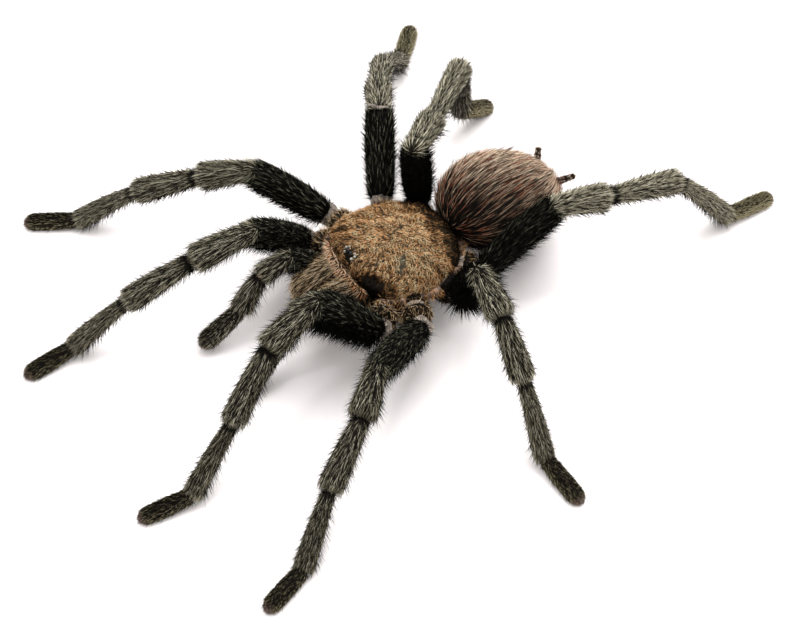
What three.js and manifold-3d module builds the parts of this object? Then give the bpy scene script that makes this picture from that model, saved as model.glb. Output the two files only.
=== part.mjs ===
/*
 * A dried tarantula, set with its eight legs spread, as mounted for a collection.
 *
 * Millimetres, +Z up. The head points to -Y, so the animal's right side is at -X and its left
 * side at +X. The origin is on the surface that it stands on, under the middle of its footprint.
 *
 * The body is an outer skeleton of hard plates. Every leg is a chain of five tubes: femur,
 * patella, tibia, metatarsus and tarsus. The two bases of each leg, coxa and trochanter, are
 * one solid with the head and thorax that they are grown to.
 */
import * as THREE from "three";
import { mergeVertices } from "three/addons/utils/BufferGeometryUtils.js";
import Module from "manifold-3d";

const wasm = await Module();
wasm.setup();

// ---- clearances and heights -------------------------------------------------------------
const JOINT_GAP = 0.3; // between two plates that meet
const HIP_HEIGHT = 5.9; // where a femur meets its base
const TIP_HEIGHT = 0.75; // middle of a foot's rounded end, above the ground
const CUTTER_SIZE = 60; // a block larger than any piece that it cuts

// ---- head and thorax --------------------------------------------------------------------
const CARAPACE = {
  halfWidth: 9.2,
  halfLength: 9.2,
  rimHeight: 7.5,
  frontRimRise: 1.2, // the rim is higher under the eyes
  crown: 5.3, // of the dome above the rim
  depth: 3.2, // of the body below the rim
  frontSquareness: 3, // exponent of the outline at the head, a rounded box
  backSquareness: 2, // exponent of the outline at the waist, an ellipse
  sideSteepness: 0.9, // exponent of the dome's rise at the sides, 1 is a plain ellipsoid
  frontSteepness: 0.55, // and under the eyes, where it rises as a short cliff
  undersideSteepness: 0.6, // and of the flat underside
  frontStart: -0.2, // where the head's shape begins, in half lengths ahead of the middle
  frontEnd: 0.9, // and where it is reached
  backSlope: 0.2, // share of the crown that is lost towards the waist
  headSlope: 0.1, // and towards the eyes
};
const WAIST = { radius: 1.3, front: 5.2, back: 10.2, height: 6.6 };
const BASE_RADIUS = 1.9; // of a leg's coxa and trochanter
const BASE_TAPER = [1, 1.06, 0.82]; // of that radius at the start, bulge and end
const BASE_START = { out: 0.4, ahead: 0.45, height: 5.7 }; // out and ahead are shares of its hip's

// ---- abdomen ----------------------------------------------------------------------------
const ABDOMEN = {
  back: 17.1,
  height: 8.2,
  halfWidth: 8.0,
  halfLength: 9.6,
  halfHeight: 6.3,
  droop: 12, // degrees that its rear hangs down
};

// ---- jaws, fangs and spinnerets ---------------------------------------------------------
const JAW = {
  base: new THREE.Vector3(2.5, -7.2, 7.4),
  tip: new THREE.Vector3(2.1, -14.0, 6.2),
  radii: [2.1, 2.5, 1.7],
};
const FANG = { length: 5.2, radius: 0.62, taper: 0.75, bend: 62, out: 1.6, ahead: 14.6, height: 4.0 };
const FANG_RINGS = [0, 0.25, 0.5, 0.75]; // where along a fang its rings are
const SPINNERETS = {
  long: {
    length: 4.0,
    radii: [0.65, 0.58, 0.38],
    right: { out: 1.1, back: 25.7, height: 7.5, heading: 101, pitch: 53 },
    left: { out: 1.7, back: 24.6, height: 8.2, heading: 172, pitch: 8 },
  },
  short: {
    length: 1.6,
    radii: [0.42, 0.42, 0.3],
    right: { out: 0.7, back: 25.6, height: 6.0, heading: 175, pitch: -10 },
    left: { out: 0.7, back: 25.6, height: 6.0, heading: 175, pitch: -10 },
  },
};

// ---- legs: lengths, radii (start, bulge, end) and where the hips are ---------------------
const LEG_PARTS = ["femur", "patella", "tibia", "metatarsus", "tarsus"];
const LEG_RADII = {
  femur: [1.5, 1.85, 1.6],
  patella: [1.35, 1.65, 1.65],
  tibia: [1.25, 1.5, 1.45],
  metatarsus: [1.0, 1.1, 1.15],
  tarsus: [1.0, 1.15, 1.05],
};
const LEG_LENGTHS = [
  [14.9, 8.7, 11.2, 11.2, 6.7],
  [14.1, 7.9, 10.8, 11.1, 6.7],
  [13.6, 7.3, 9.1, 11.7, 7.2],
  [14.4, 7.9, 11.8, 14.0, 7.1],
];
const HIPS = [
  { out: 10.1, ahead: 9.3 },
  { out: 12.6, ahead: 4.1 },
  { out: 10.6, ahead: -3.9 },
  { out: 8.3, ahead: -9.1 },
];

/*
 * How the legs are set. heading is degrees outward from straight ahead and pitch is degrees
 * above level, for the femur, patella, tibia, metatarsus and tarsus. A metatarsus has no pitch
 * of its own: it drops by what brings the foot down to the ground.
 */
const LEG_POSES = {
  right: [
    { heading: [-15, 7, 17, 18, -4], pitch: [44, -11, -30, null, -7] },
    { heading: [33, 40, 43, 35, 32], pitch: [41, -18, -27, null, -4] },
    { heading: [121, 120, 128, 139, 134], pitch: [44, -20, -24, null, -6] },
    { heading: [138, 144, 143, 126, 162], pitch: [104, -11, -2, null, -32] },
  ],
  left: [
    { heading: [-6, 16, 23, 19, -6], pitch: [47, -9, -39, null, -7] },
    { heading: [30, 43, 34, 36, 21], pitch: [20, -4, -18, null, -4] },
    { heading: [77, 80, 83, 85, 92], pitch: [60, -5, -40, null, -7] },
    { heading: [167, 166, 175, 169, 181], pitch: [42, -6, -12, null, -6] },
  ],
};

// ---- palps, the pair of short feelers beside the jaws -------------------------------------
const PALP_PARTS = ["femur", "patella", "tibia", "tarsus"];
const PALP_HIP = { out: 5.3, ahead: 9.9, height: 5.2 };
const PALP_LENGTHS = [8.0, 4.4, 6.1, 6.5];
const PALP_RADII = {
  femur: [1.25, 1.4, 1.25],
  patella: [1.25, 1.35, 1.25],
  tibia: [1.25, 1.35, 1.15],
  tarsus: [1.1, 1.25, 1.2],
};
const PALP_POSES = {
  right: { heading: [-7, -7, 1, 4], pitch: [44, -3, -54, -36] },
  left: { heading: [-7, -2, -1, 13], pitch: [45, 3, -67, -35] },
};

// ---- how finely the round shapes are faceted ----------------------------------------------
const TUBE_SIDES = 10;
const BASE_SIDES = 8;
const JAW_SIDES = 14;
const SMALL_SIDES = 8;
const BODY_SIDES = 24;
const BODY_RINGS = 11;
const BULGE_SPAN = [0.33, 0.67]; // where along a tube it is at its widest
const SAME_PLACE = 1e-4; // corners closer than this are one

const SIDES = { right: -1, left: 1 };
const ALONG = new THREE.Vector3(0, 1, 0); // a tube's own axis
const UP = new THREE.Vector3(0, 0, 1);

// ---- materials ------------------------------------------------------------------------------
const paint = (colour, roughness) =>
  new THREE.MeshStandardMaterial({ color: colour, roughness, metalness: 0 });
const CARAPACE_HAIR = paint("#8a6a45", 0.85);
const ABDOMEN_HAIR = paint("#4a332b", 0.85);
const LEG_HAIR = paint("#3b3a37", 0.85);
const FEMUR_HAIR = paint("#151413", 0.8);
const FOOT_HAIR = paint("#1f1d1b", 0.9);
const FANG_HORN = paint("#120c0a", 0.25);
const PART_MATERIALS = {
  femur: FEMUR_HAIR,
  patella: LEG_HAIR,
  tibia: LEG_HAIR,
  metatarsus: LEG_HAIR,
  tarsus: FOOT_HAIR,
};

// ---- solids: closed geometries in, cut or joined geometries out ------------------------------

/** The same surface with shared corners, and without the flat triangles that a lathe has at its poles. */
function merge(geometry) {
  const bare = geometry.clone();
  bare.deleteAttribute("normal");
  bare.deleteAttribute("uv");
  const merged = mergeVertices(bare, SAME_PLACE);
  const corners = merged.index.array;
  const kept = [];
  for (let i = 0; i < corners.length; i += 3) {
    const [a, b, c] = corners.slice(i, i + 3);
    if (a !== b && b !== c && c !== a) {
      kept.push(a, b, c);
    }
  }
  merged.setIndex(kept);
  return merged;
}

/** The solid that a closed geometry bounds. */
function toSolid(geometry) {
  const merged = merge(geometry);
  return new wasm.Manifold(
    new wasm.Mesh({
      numProp: 3,
      vertProperties: new Float32Array(merged.attributes.position.array),
      triVerts: new Uint32Array(merged.index.array),
    })
  );
}

/** A solid's surface, as a geometry. */
function toGeometry(solid) {
  const mesh = solid.getMesh();
  const geometry = new THREE.BufferGeometry();
  geometry.setAttribute("position", new THREE.BufferAttribute(new Float32Array(mesh.vertProperties), 3));
  geometry.setIndex(new THREE.BufferAttribute(new Uint32Array(mesh.triVerts), 1));
  geometry.computeVertexNormals();
  return geometry;
}

/** The solid less everything that lies behind a plane, which normal points away from. */
function keepInFront(solid, point, normal) {
  const block = new THREE.BoxGeometry(CUTTER_SIZE, CUTTER_SIZE, CUTTER_SIZE);
  block.translate(0, -CUTTER_SIZE / 2, 0);
  block.applyQuaternion(new THREE.Quaternion().setFromUnitVectors(ALONG, normal));
  block.translate(point.x, point.y, point.z);
  return solid.subtract(toSolid(block));
}

/** A tube along +Y from 0 to length with round ends; radii are those at its start, bulge and end. */
function tubeGeometry(length, [start, bulge, end], sides = TUBE_SIDES) {
  const profile = [
    [0, -start],
    [start * Math.SQRT1_2, -start * Math.SQRT1_2],
    [start, 0],
    ...BULGE_SPAN.map((share) => [bulge, length * share]),
    [end, length],
    [end * Math.SQRT1_2, length + end * Math.SQRT1_2],
    [0, length + end],
  ];
  const points = profile.map(([radius, along]) => new THREE.Vector2(radius, along));
  return new THREE.LatheGeometry(points, sides);
}

/** A tube from one point to another. */
function tubeBetween(start, end, radii, sides) {
  const way = end.clone().sub(start);
  const geometry = tubeGeometry(way.length(), radii, sides);
  geometry.applyQuaternion(new THREE.Quaternion().setFromUnitVectors(ALONG, way.clone().normalize()));
  geometry.translate(start.x, start.y, start.z);
  return geometry;
}

/** Moves every vertex of a geometry by a function of its place. */
function reshape(geometry, move) {
  const place = geometry.attributes.position;
  const point = new THREE.Vector3();
  for (let i = 0; i < place.count; i += 1) {
    point.fromBufferAttribute(place, i);
    move(point);
    place.setXYZ(i, point.x, point.y, point.z);
  }
  return geometry;
}

/** A sphere of radius 1 with its poles on the Z axis. */
function ballGeometry() {
  return new THREE.SphereGeometry(1, BODY_SIDES, BODY_RINGS).rotateX(Math.PI / 2);
}

/** The unit vector of a heading outward from straight ahead and a pitch above level. */
function direction(side, headingDegrees, pitchDegrees) {
  const heading = THREE.MathUtils.degToRad(headingDegrees);
  const pitch = THREE.MathUtils.degToRad(pitchDegrees);
  return new THREE.Vector3(
    side * Math.sin(heading) * Math.cos(pitch),
    -Math.cos(heading) * Math.cos(pitch),
    Math.sin(pitch)
  );
}

/** Where a femur meets its base. */
function hipPoint(side, hip) {
  return new THREE.Vector3(side * hip.out, -hip.ahead, hip.height ?? HIP_HEIGHT);
}

/** Where a leg's base starts, deep inside the thorax. */
function baseStart(side, hip) {
  const out = hip.out * BASE_START.out;
  const ahead = hip.ahead * BASE_START.ahead;
  return new THREE.Vector3(side * out, -ahead, BASE_START.height);
}

// ---- head and thorax ----------------------------------------------------------------------

/** A dome on a flat underside: a sphere drawn out to the carapace's outline, rim and crown. */
function carapaceGeometry(grow) {
  return reshape(ballGeometry(), (p) => {
    const frontness = THREE.MathUtils.smoothstep(-p.y, CARAPACE.frontStart, CARAPACE.frontEnd);
    const squareness = THREE.MathUtils.lerp(CARAPACE.backSquareness, CARAPACE.frontSquareness, frontness);
    const across = Math.hypot(p.x, p.y);
    const corner = (Math.abs(p.x) ** squareness + Math.abs(p.y) ** squareness) ** (1 / squareness);
    const spread = across < SAME_PLACE ? 1 : across / corner;
    const rim = CARAPACE.rimHeight + CARAPACE.frontRimRise * frontness;
    const steepness = THREE.MathUtils.lerp(CARAPACE.sideSteepness, CARAPACE.frontSteepness, frontness);
    const slope = (1 - CARAPACE.backSlope * Math.max(0, p.y)) * (1 - CARAPACE.headSlope * frontness);
    const rise =
      p.z > 0
        ? CARAPACE.crown * slope * p.z ** steepness + grow
        : -CARAPACE.depth * (-p.z) ** CARAPACE.undersideSteepness - grow;
    p.x *= spread * (CARAPACE.halfWidth + grow);
    p.y *= spread * (CARAPACE.halfLength + grow);
    p.z = rim + rise;
  });
}

/** The waist that carries the abdomen. */
function waistGeometry(grow) {
  const start = new THREE.Vector3(0, WAIST.front, WAIST.height);
  const end = new THREE.Vector3(0, WAIST.back + grow, WAIST.height);
  const radius = WAIST.radius + grow;
  return tubeBetween(start, end, [radius, radius, radius]);
}

/** A leg's coxa and trochanter, cut square to the bend where the femur follows. */
function legBaseSolid(start, hip, femurWay, radius) {
  const tube = toSolid(tubeBetween(start, hip, BASE_TAPER.map((share) => radius * share), BASE_SIDES));
  const baseWay = hip.clone().sub(start).normalize();
  const normal = baseWay.add(femurWay).normalize().negate();
  return keepInFront(tube, hip.clone().addScaledVector(normal, JOINT_GAP / 2), normal);
}

/** Head, thorax, waist and the ten leg bases, as one solid. */
function thoraxSolid() {
  let solid = toSolid(carapaceGeometry(0)).add(toSolid(waistGeometry(0)));
  for (const [name, side] of Object.entries(SIDES)) {
    HIPS.forEach((hip, i) => {
      const pose = LEG_POSES[name][i];
      const femurWay = direction(side, pose.heading[0], pose.pitch[0]);
      solid = solid.add(legBaseSolid(baseStart(side, hip), hipPoint(side, hip), femurWay, BASE_RADIUS));
    });
    const pose = PALP_POSES[name];
    const femurWay = direction(side, pose.heading[0], pose.pitch[0]);
    const hip = hipPoint(side, PALP_HIP);
    solid = solid.add(legBaseSolid(baseStart(side, PALP_HIP), hip, femurWay, PALP_RADII.femur[1]));
  }
  return solid;
}

// ---- abdomen ------------------------------------------------------------------------------

/** An egg shape, its rear hanging a little. */
function eggGeometry(grow) {
  const egg = ballGeometry();
  egg.scale(ABDOMEN.halfWidth + grow, ABDOMEN.halfLength + grow, ABDOMEN.halfHeight + grow);
  egg.rotateX(-THREE.MathUtils.degToRad(ABDOMEN.droop));
  egg.translate(0, ABDOMEN.back, ABDOMEN.height);
  return egg;
}

/** The egg, hollowed in front where it meets the carapace and the waist. */
function abdomenSolid() {
  return toSolid(eggGeometry(0))
    .subtract(toSolid(carapaceGeometry(JOINT_GAP)))
    .subtract(toSolid(waistGeometry(JOINT_GAP)));
}

// ---- jaws, fangs, spinnerets ------------------------------------------------------------------

/** One half of the pair of jaws, flat where the two face each other. */
function jawSolid(side, thorax) {
  const mirrored = (point) => new THREE.Vector3(side * point.x, point.y, point.z);
  const jaw = toSolid(tubeBetween(mirrored(JAW.base), mirrored(JAW.tip), JAW.radii, JAW_SIDES));
  const inner = new THREE.Vector3(side * JOINT_GAP / 2, 0, 0);
  const hip = hipPoint(side, PALP_HIP);
  const pose = PALP_POSES[side < 0 ? "right" : "left"];
  const knee = hip.clone().addScaledVector(direction(side, pose.heading[0], pose.pitch[0]), PALP_LENGTHS[0]);
  const room = PALP_RADII.femur[1] + JOINT_GAP;
  return keepInFront(jaw, inner, new THREE.Vector3(side, 0, 0))
    .subtract(toSolid(carapaceGeometry(JOINT_GAP)))
    .subtract(toSolid(tubeBetween(baseStart(side, PALP_HIP), hip, [room, room, room])))
    .subtract(toSolid(tubeBetween(hip, knee, [room, room, room])))
    .subtract(thorax);
}

/** A fang: a tapering horn that curls down and back under the jaw. */
function fangGeometry() {
  const profile = FANG_RINGS.map(
    (share) => new THREE.Vector2(FANG.radius * (1 - FANG.taper * share), FANG.length * share)
  );
  profile.unshift(new THREE.Vector2(0, 0));
  profile.push(new THREE.Vector2(0, FANG.length));
  const bend = THREE.MathUtils.degToRad(FANG.bend);
  const bendRadius = FANG.length / bend;
  return reshape(new THREE.LatheGeometry(profile, SMALL_SIDES), (p) => {
    const angle = (p.y / FANG.length) * bend;
    const reach = bendRadius + p.z;
    p.y = Math.sin(angle) * reach;
    p.z = Math.cos(angle) * reach - bendRadius;
  });
}

/** A spinneret: a short tube that stands off the rear of the abdomen. */
function spinneretSolid(side, spinneret, place) {
  const start = new THREE.Vector3(side * place.out, place.back, place.height);
  const end = start.clone().addScaledVector(direction(side, place.heading, place.pitch), spinneret.length);
  const tube = toSolid(tubeBetween(start, end, spinneret.radii, SMALL_SIDES));
  return tube.subtract(toSolid(eggGeometry(JOINT_GAP)));
}

// ---- assembly -----------------------------------------------------------------------------

const specimen = new THREE.Group();
specimen.name = "tarantula";

/** Adds one named piece to a group. */
function addPiece(group, name, geometry, material) {
  const mesh = new THREE.Mesh(geometry, material);
  mesh.name = name;
  group.add(mesh);
  return mesh;
}

/*
 * A limb: a chain of tubes from the group's own origin at the hip. Each tube is cut square to
 * the middle of the bend at both of its joints, so two neighbours meet in one plane, a gap apart.
 */
function addLimb(name, side, hip, baseWay, parts, lengths, radii, pose, restsOnGround) {
  const limb = new THREE.Group();
  limb.position.copy(hip);
  specimen.add(limb);
  const ways = pose.heading.map((heading, i) => direction(side, heading, pose.pitch[i]));
  const joint = new THREE.Vector3();
  parts.forEach((part, i) => {
    const way = ways[i];
    const turn = new THREE.Quaternion().setFromUnitVectors(ALONG, way);
    const backTurn = turn.clone().invert();
    let solid = toSolid(tubeGeometry(lengths[i], radii[part]));
    const before = i > 0 ? ways[i - 1] : baseWay;
    const startNormal = way.clone().add(before).normalize().applyQuaternion(backTurn);
    solid = keepInFront(solid, startNormal.clone().multiplyScalar(JOINT_GAP / 2), startNormal);
    if (i < parts.length - 1) {
      const endNormal = way.clone().add(ways[i + 1]).normalize().negate().applyQuaternion(backTurn);
      const end = new THREE.Vector3(0, lengths[i], 0).addScaledVector(endNormal, JOINT_GAP / 2);
      solid = keepInFront(solid, end, endNormal);
    } else if (restsOnGround) {
      const ground = new THREE.Vector3(0, 0, -hip.z - joint.z).applyQuaternion(backTurn);
      solid = keepInFront(solid, ground, UP.clone().applyQuaternion(backTurn));
    }
    const mesh = addPiece(limb, `${name}_${part}`, toGeometry(solid), PART_MATERIALS[part]);
    mesh.position.copy(joint);
    mesh.quaternion.copy(turn);
    joint.addScaledVector(way, lengths[i]);
  });
}

/** The pose with the metatarsus dropped so far that the foot reaches the ground. */
function settledPose(pose, lengths) {
  const drop = pose.pitch.reduce(
    (sum, pitch, i) => sum + (pitch === null ? 0 : lengths[i] * Math.sin(THREE.MathUtils.degToRad(pitch))),
    HIP_HEIGHT - TIP_HEIGHT
  );
  const metatarsus = pose.pitch.indexOf(null);
  const slope = -THREE.MathUtils.radToDeg(Math.asin(drop / lengths[metatarsus]));
  return { heading: pose.heading, pitch: pose.pitch.map((pitch) => pitch ?? slope) };
}

const thorax = thoraxSolid();
addPiece(specimen, "cephalothorax", toGeometry(thorax), CARAPACE_HAIR);
addPiece(specimen, "abdomen", toGeometry(abdomenSolid()), ABDOMEN_HAIR);

for (const [name, side] of Object.entries(SIDES)) {
  addPiece(specimen, `chelicera_${name}`, toGeometry(jawSolid(side, thorax)), CARAPACE_HAIR);

  const fang = addPiece(specimen, `fang_${name}`, merge(fangGeometry()), FANG_HORN);
  fang.position.set(side * FANG.out, -FANG.ahead, FANG.height);

  for (const [kind, spinneret] of Object.entries(SPINNERETS)) {
    const solid = spinneretSolid(side, spinneret, spinneret[name]);
    addPiece(specimen, `spinneret_${kind}_${name}`, toGeometry(solid), ABDOMEN_HAIR);
  }

  HIPS.forEach((hip, i) => {
    const point = hipPoint(side, hip);
    const baseWay = point.clone().sub(baseStart(side, hip)).normalize();
    const pose = settledPose(LEG_POSES[name][i], LEG_LENGTHS[i]);
    addLimb(`leg_${i + 1}_${name}`, side, point, baseWay, LEG_PARTS, LEG_LENGTHS[i], LEG_RADII, pose, true);
  });

  const palpHip = hipPoint(side, PALP_HIP);
  const palpBase = palpHip.clone().sub(baseStart(side, PALP_HIP)).normalize();
  const palpPose = PALP_POSES[name];
  addLimb(`palp_${name}`, side, palpHip, palpBase, PALP_PARTS, PALP_LENGTHS, PALP_RADII, palpPose, false);
}

// The origin goes to the ground, under the middle of the specimen.
specimen.updateMatrixWorld(true);
const extent = new THREE.Box3().setFromObject(specimen, true);
const middle = extent.getCenter(new THREE.Vector3());
specimen.position.set(-middle.x, -middle.y, -extent.min.z);

export default specimen;
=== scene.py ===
"""A dried tarantula: hard skins, soft joint membranes, eyes, fangs, claws and fur on a frame of solids.

Every length is in metres. A point of the animal is given as (x, y, z) in its own body frame: the head looks
along -y, its left side is +x, and the ground is z = 0. at() brings such a point into the frame's own axes.
A skin is a stack of rings: rows of points around an axis, closed by a pole at each end. Fur is a crowd of
three-sided spikes that leave a skin, each one bowed along the way that the fur is combed.
"""

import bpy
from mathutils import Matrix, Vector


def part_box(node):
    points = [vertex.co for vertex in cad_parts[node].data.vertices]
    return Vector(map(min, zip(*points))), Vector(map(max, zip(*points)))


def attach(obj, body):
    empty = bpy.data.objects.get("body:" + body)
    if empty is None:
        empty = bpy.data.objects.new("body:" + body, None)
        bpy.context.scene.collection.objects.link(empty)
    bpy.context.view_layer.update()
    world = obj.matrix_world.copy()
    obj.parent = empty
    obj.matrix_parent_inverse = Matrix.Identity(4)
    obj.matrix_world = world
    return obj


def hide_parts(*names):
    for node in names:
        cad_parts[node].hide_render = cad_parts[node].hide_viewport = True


bl_info = {
    "name": "Dried Tarantula",
    "version": (1, 0, 0),
    "blender": (4, 5, 0),
    "location": "View3D > Sidebar > Tarantula",
    "description": "Builds a mounted tarantula with its skin, membranes, eyes, fangs, claws and fur",
    "category": "Add Mesh",
}

import math
from collections import namedtuple

import bpy
import numpy as np
from bpy.props import FloatProperty, FloatVectorProperty, IntProperty, PointerProperty
from mathutils import Vector

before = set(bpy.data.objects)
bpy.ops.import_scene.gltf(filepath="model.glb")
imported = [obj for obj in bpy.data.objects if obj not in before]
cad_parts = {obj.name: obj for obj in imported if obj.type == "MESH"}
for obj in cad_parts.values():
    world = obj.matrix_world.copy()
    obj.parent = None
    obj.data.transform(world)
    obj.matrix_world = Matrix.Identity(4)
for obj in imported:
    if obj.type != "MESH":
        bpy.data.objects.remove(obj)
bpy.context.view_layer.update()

MM = 0.001
UP = np.array([0.0, 0.0, 1.0])
SIDES = {"right": -1, "left": 1}
WHITE = (1.0, 1.0, 1.0, 1.0)
RAMP = "ShaderNodeValToRGB"

# ---- places in the body frame, in millimetres
FANG_REACH = 14.6  # the fangs' bases are this far ahead of the body's middle
RIM_HEIGHT = 7.5
FRONT_RIM_RISE = 1.2
UNDERSIDE_DEPTH = 3.2
FOVEA = (0.4, -1.8)  # the pit where the grooves meet
EYE_HILL = (0.0, -8.0)
GROOVE_ENDS = tuple(
    (side * x, y) for x, y in ((6.6, -8.0), (9.0, -2.6), (8.8, 2.2), (5.6, 7.0)) for side in (1, -1)
)
HOLLOW = (5.6, -8.2)  # a dent that the drying left beside the head
HOLLOW_FLOOR = (5.3, -7.7)  # the middle of the darker tones in it
BARE_SPOTS = (  # x, y, half width, half length, turn in degrees and bareness of each rubbed patch
    (5.3, -2.6, 0.45, 1.45, 57, 1.8),
    (0.0, -1.3, 0.75, 0.4, 57, 0.7),
    (6.7, 0.8, 0.5, 0.4, 0, 0.4),
    (-2.9, -3.1, 0.6, 0.3, 20, 0.5),
    (-2.1, -6.4, 0.5, 0.4, 0, 0.5),
)
CARAPACE_TONES = (  # x, y, half width, half length and what is added to the tones of each shaded area
    (-5.0, -6.6, 2.9, 2.6, -0.32),
    (-6.2, 0.8, 2.0, 3.2, -0.3),
    (3.3, -5.0, 1.0, 1.0, -0.25),
    (6.5, -5.0, 1.0, 1.2, -0.25),
    (4.3, -0.6, 2.2, 2.2, 0.12),
)
ABDOMEN_MIDDLE = (0.0, 17.1, 8.2)
ABDOMEN_DROOP = 12  # degrees
JAW_BASE = (2.5, -7.2, 7.2)
JAW_TIP = (2.1, -14.0, 6.2)
BASE_START = (0.4, 0.45, 5.7)  # of a leg's coxa: shares of its hip's x and y, and its height
FACE_EDGE = -8.3  # the steep face under the eyes is ahead of this
FACE_TOP = 11.0
RIM_SHADOW = 6.8  # the carapace's hair is darker below this height
UNDER_ROWS = 12  # rings of the carapace that lie under its rim
# The pale eyes' colour is partly their own pearly lens and partly a painted glint.
EYES = (  # x and y of those on the left, share of the largest radius, and 0 for dark or 1 for pale
    (0.36, -8.0, 0.95, 0),
    (0.86, -8.2, 0.55, 1),
    (1.1, -7.8, 0.5, 1),
    (0.72, -7.5, 0.42, 1),
)
BAND_ENDS = ((-5.1, -8.5, 9.5), (5.2, -8.7, 8.2))  # of the tan band under the eyes
BAND_BULGE = (0, -0.9, 0.25)  # of its middle
WAIST_ENDS = ((0, 5.4, 6.6), (0, 10.4, 6.8))
JAW_GAP = 0.12  # from the middle plane to a jaw's flat inner side
FANG_SWEEP = math.radians(62)
FANG_RADIUS = 0.62
SPINNERETS = {"long": 0.62, "short": 0.42}  # radius of each kind
PLATES = {  # middle and half sizes of the plates of the underside
    "breastplate": ((0.0, 0.6, 4.5), (4.2, 5.6, 1.1)),
    "lip": ((0.0, -6.2, 4.6), (1.3, 1.1, 0.9)),
}

LEG_PARTS = ("femur", "patella", "tibia", "metatarsus", "tarsus")
PALP_PARTS = ("femur", "patella", "tibia", "tarsus")
LEG_RADII = {  # start, middle and end, in millimetres
    "femur": (1.6, 2.0, 1.8),
    "patella": (1.25, 1.75, 1.95),
    "tibia": (1.05, 1.5, 1.7),
    "metatarsus": (0.85, 1.22, 1.4),
    "tarsus": (0.95, 1.2, 1.1),
}
PALP_RADII = {
    "femur": (1.2, 1.5, 1.45),
    "patella": (1.05, 1.4, 1.55),
    "tibia": (0.95, 1.35, 1.5),
    "tarsus": (1.0, 1.3, 1.3),
}
LEG_BOW = {"femur": 0.35, "patella": 0.15, "tibia": 0.15, "metatarsus": 0.2, "tarsus": 0.0}
PALE_KNEE = "leg_3_right"  # the leg whose knee skin shows as a pale line
# Painted flare: the large pale shifts of legs 3 and 4 right and leg 4 left give the far legs' washed-out
# look; the smaller shifts and the darker femora are the legs' own tones.
LEG_TONE_AND_FLARE = {  # added to the tones of each leg's femur, of its middle parts and of its foot
    "leg_1_right": (0.0, 0.13, 0.02),
    "leg_2_right": (0.0, 0.18, 0.04),
    "leg_3_right": (-0.08, 0.3, 0.5),
    "leg_4_right": (-0.6, 0.31, 0.5),
    "leg_1_left": (0.0, 0.02, 0.02),
    "leg_2_left": (0.06, -0.02, 0.03),
    "leg_3_left": (-0.3, 0.12, 0.1),
    "leg_4_left": (-0.15, 0.37, 0.55),
}
PALP_TONE_SHIFT = (0.05, 0.06, 0.04)
SHAGGY = ("leg_1_left", "leg_3_left")  # the legs whose femora have the longest fringe
METATARSUS_TONE_SHIFT = 0.12  # what a metatarsus has beyond the other middle parts
HIP_FOLDS = (  # each fold's place beyond the hip, share of the femur's radius, least and most thickness
    (0.35, 0.92, 0.26, 0.36),
    (-0.55, 1.0, 0.12, 0.18),
)
TIP_HEIGHT = 0.75  # of the middle of a foot's rounded end
JOINT_REACH = 0.75 * MM  # corners of two nodes this close belong to the joint between them
GROUND = 0.02 * MM  # nothing reaches below it
ROOT_DEPTH = 0.06 * MM  # how deep a hair stands in the skin
CLUMPING = 0.25  # share of a hair's tone that its clump gives

# ---- fur
# A layer: hairs on a square millimetre, shortest and longest in mm, width at the root in mm, least and most
# lift in degrees, share of the lift lost by the tip, darkest and lightest tone, stray in degrees, and bends.
FIELDS = "per_mm2 shortest longest width lift_low lift_high curl dark light stray bends"
Layer = namedtuple("Layer", FIELDS, defaults=(1,))
SHIN_COAT = (
    Layer(13, 0.8, 1.4, 0.13, 8, 24, 0.5, 0.0, 0.42, 8),
    Layer(7, 1.2, 2.0, 0.125, 4, 16, 0.5, 0.45, 1.0, 8),
)
LEG_LAYERS = {  # undercoat, pale streaks and guard hairs of each part
    "femur": (
        Layer(13, 0.9, 1.6, 0.13, 8, 26, 0.5, 0.0, 0.4, 10),
        Layer(3.5, 1.2, 2.0, 0.12, 6, 22, 0.5, 0.55, 1.0, 10),
        Layer(3.5, 1.1, 2.0, 0.1, 36, 66, 0.4, 0.0, 0.4, 14),
    ),
    "patella": (
        *SHIN_COAT,
        Layer(3.5, 1.1, 1.9, 0.1, 34, 64, 0.4, 0.0, 0.35, 14),
    ),
    "tibia": (
        *SHIN_COAT,
        Layer(3.5, 1.1, 2.0, 0.1, 34, 66, 0.4, 0.0, 0.35, 14),
    ),
    "metatarsus": (
        Layer(16, 0.8, 1.3, 0.11, 8, 22, 0.5, 0.0, 0.42, 7),
        Layer(9, 1.0, 1.7, 0.105, 4, 14, 0.5, 0.4, 1.0, 7),
        Layer(3.5, 1.0, 1.7, 0.095, 34, 66, 0.4, 0.0, 0.35, 14),
    ),
    "tarsus": (
        Layer(26, 0.5, 0.8, 0.12, 18, 36, 0.4, 0.0, 0.4, 10),
        Layer(9, 0.6, 1.0, 0.11, 10, 26, 0.4, 0.5, 1.0, 12),
        Layer(3.5, 0.8, 1.2, 0.095, 36, 62, 0.5, 0.0, 0.4, 14),
    ),
}
FRINGE = Layer(7, 1.4, 2.4, 0.1, 36, 70, 0.4, 0.0, 0.4, 14)
FEMUR_FRINGE = Layer(12, 1.4, 2.4, 0.12, 36, 74, 0.4, 0.0, 0.35, 14)
SHAGGY_FRINGE = Layer(24, 2.0, 3.6, 0.15, 40, 84, 0.3, 0.0, 0.35, 14)
TIP_BRUSH = Layer(16, 1.1, 1.8, 0.12, 12, 30, 0.3, 0.1, 0.9, 10)
BASE_LAYERS = (
    Layer(14, 0.5, 1.1, 0.13, 12, 36, 0.5, 0.0, 0.45, 20),
    Layer(6.5, 0.8, 1.6, 0.125, 12, 48, 0.5, 0.4, 1.0, 36),
)
CARAPACE_LAYERS = (
    Layer(21, 0.3, 0.6, 0.14, 14, 40, 0.5, 0.15, 0.65, 50),
    Layer(21, 0.35, 0.75, 0.13, 10, 30, 0.5, 0.4, 1.0, 32),
    Layer(4, 0.6, 1.1, 0.1, 28, 62, 0.5, 0.0, 1.0, 55),
)
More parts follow.
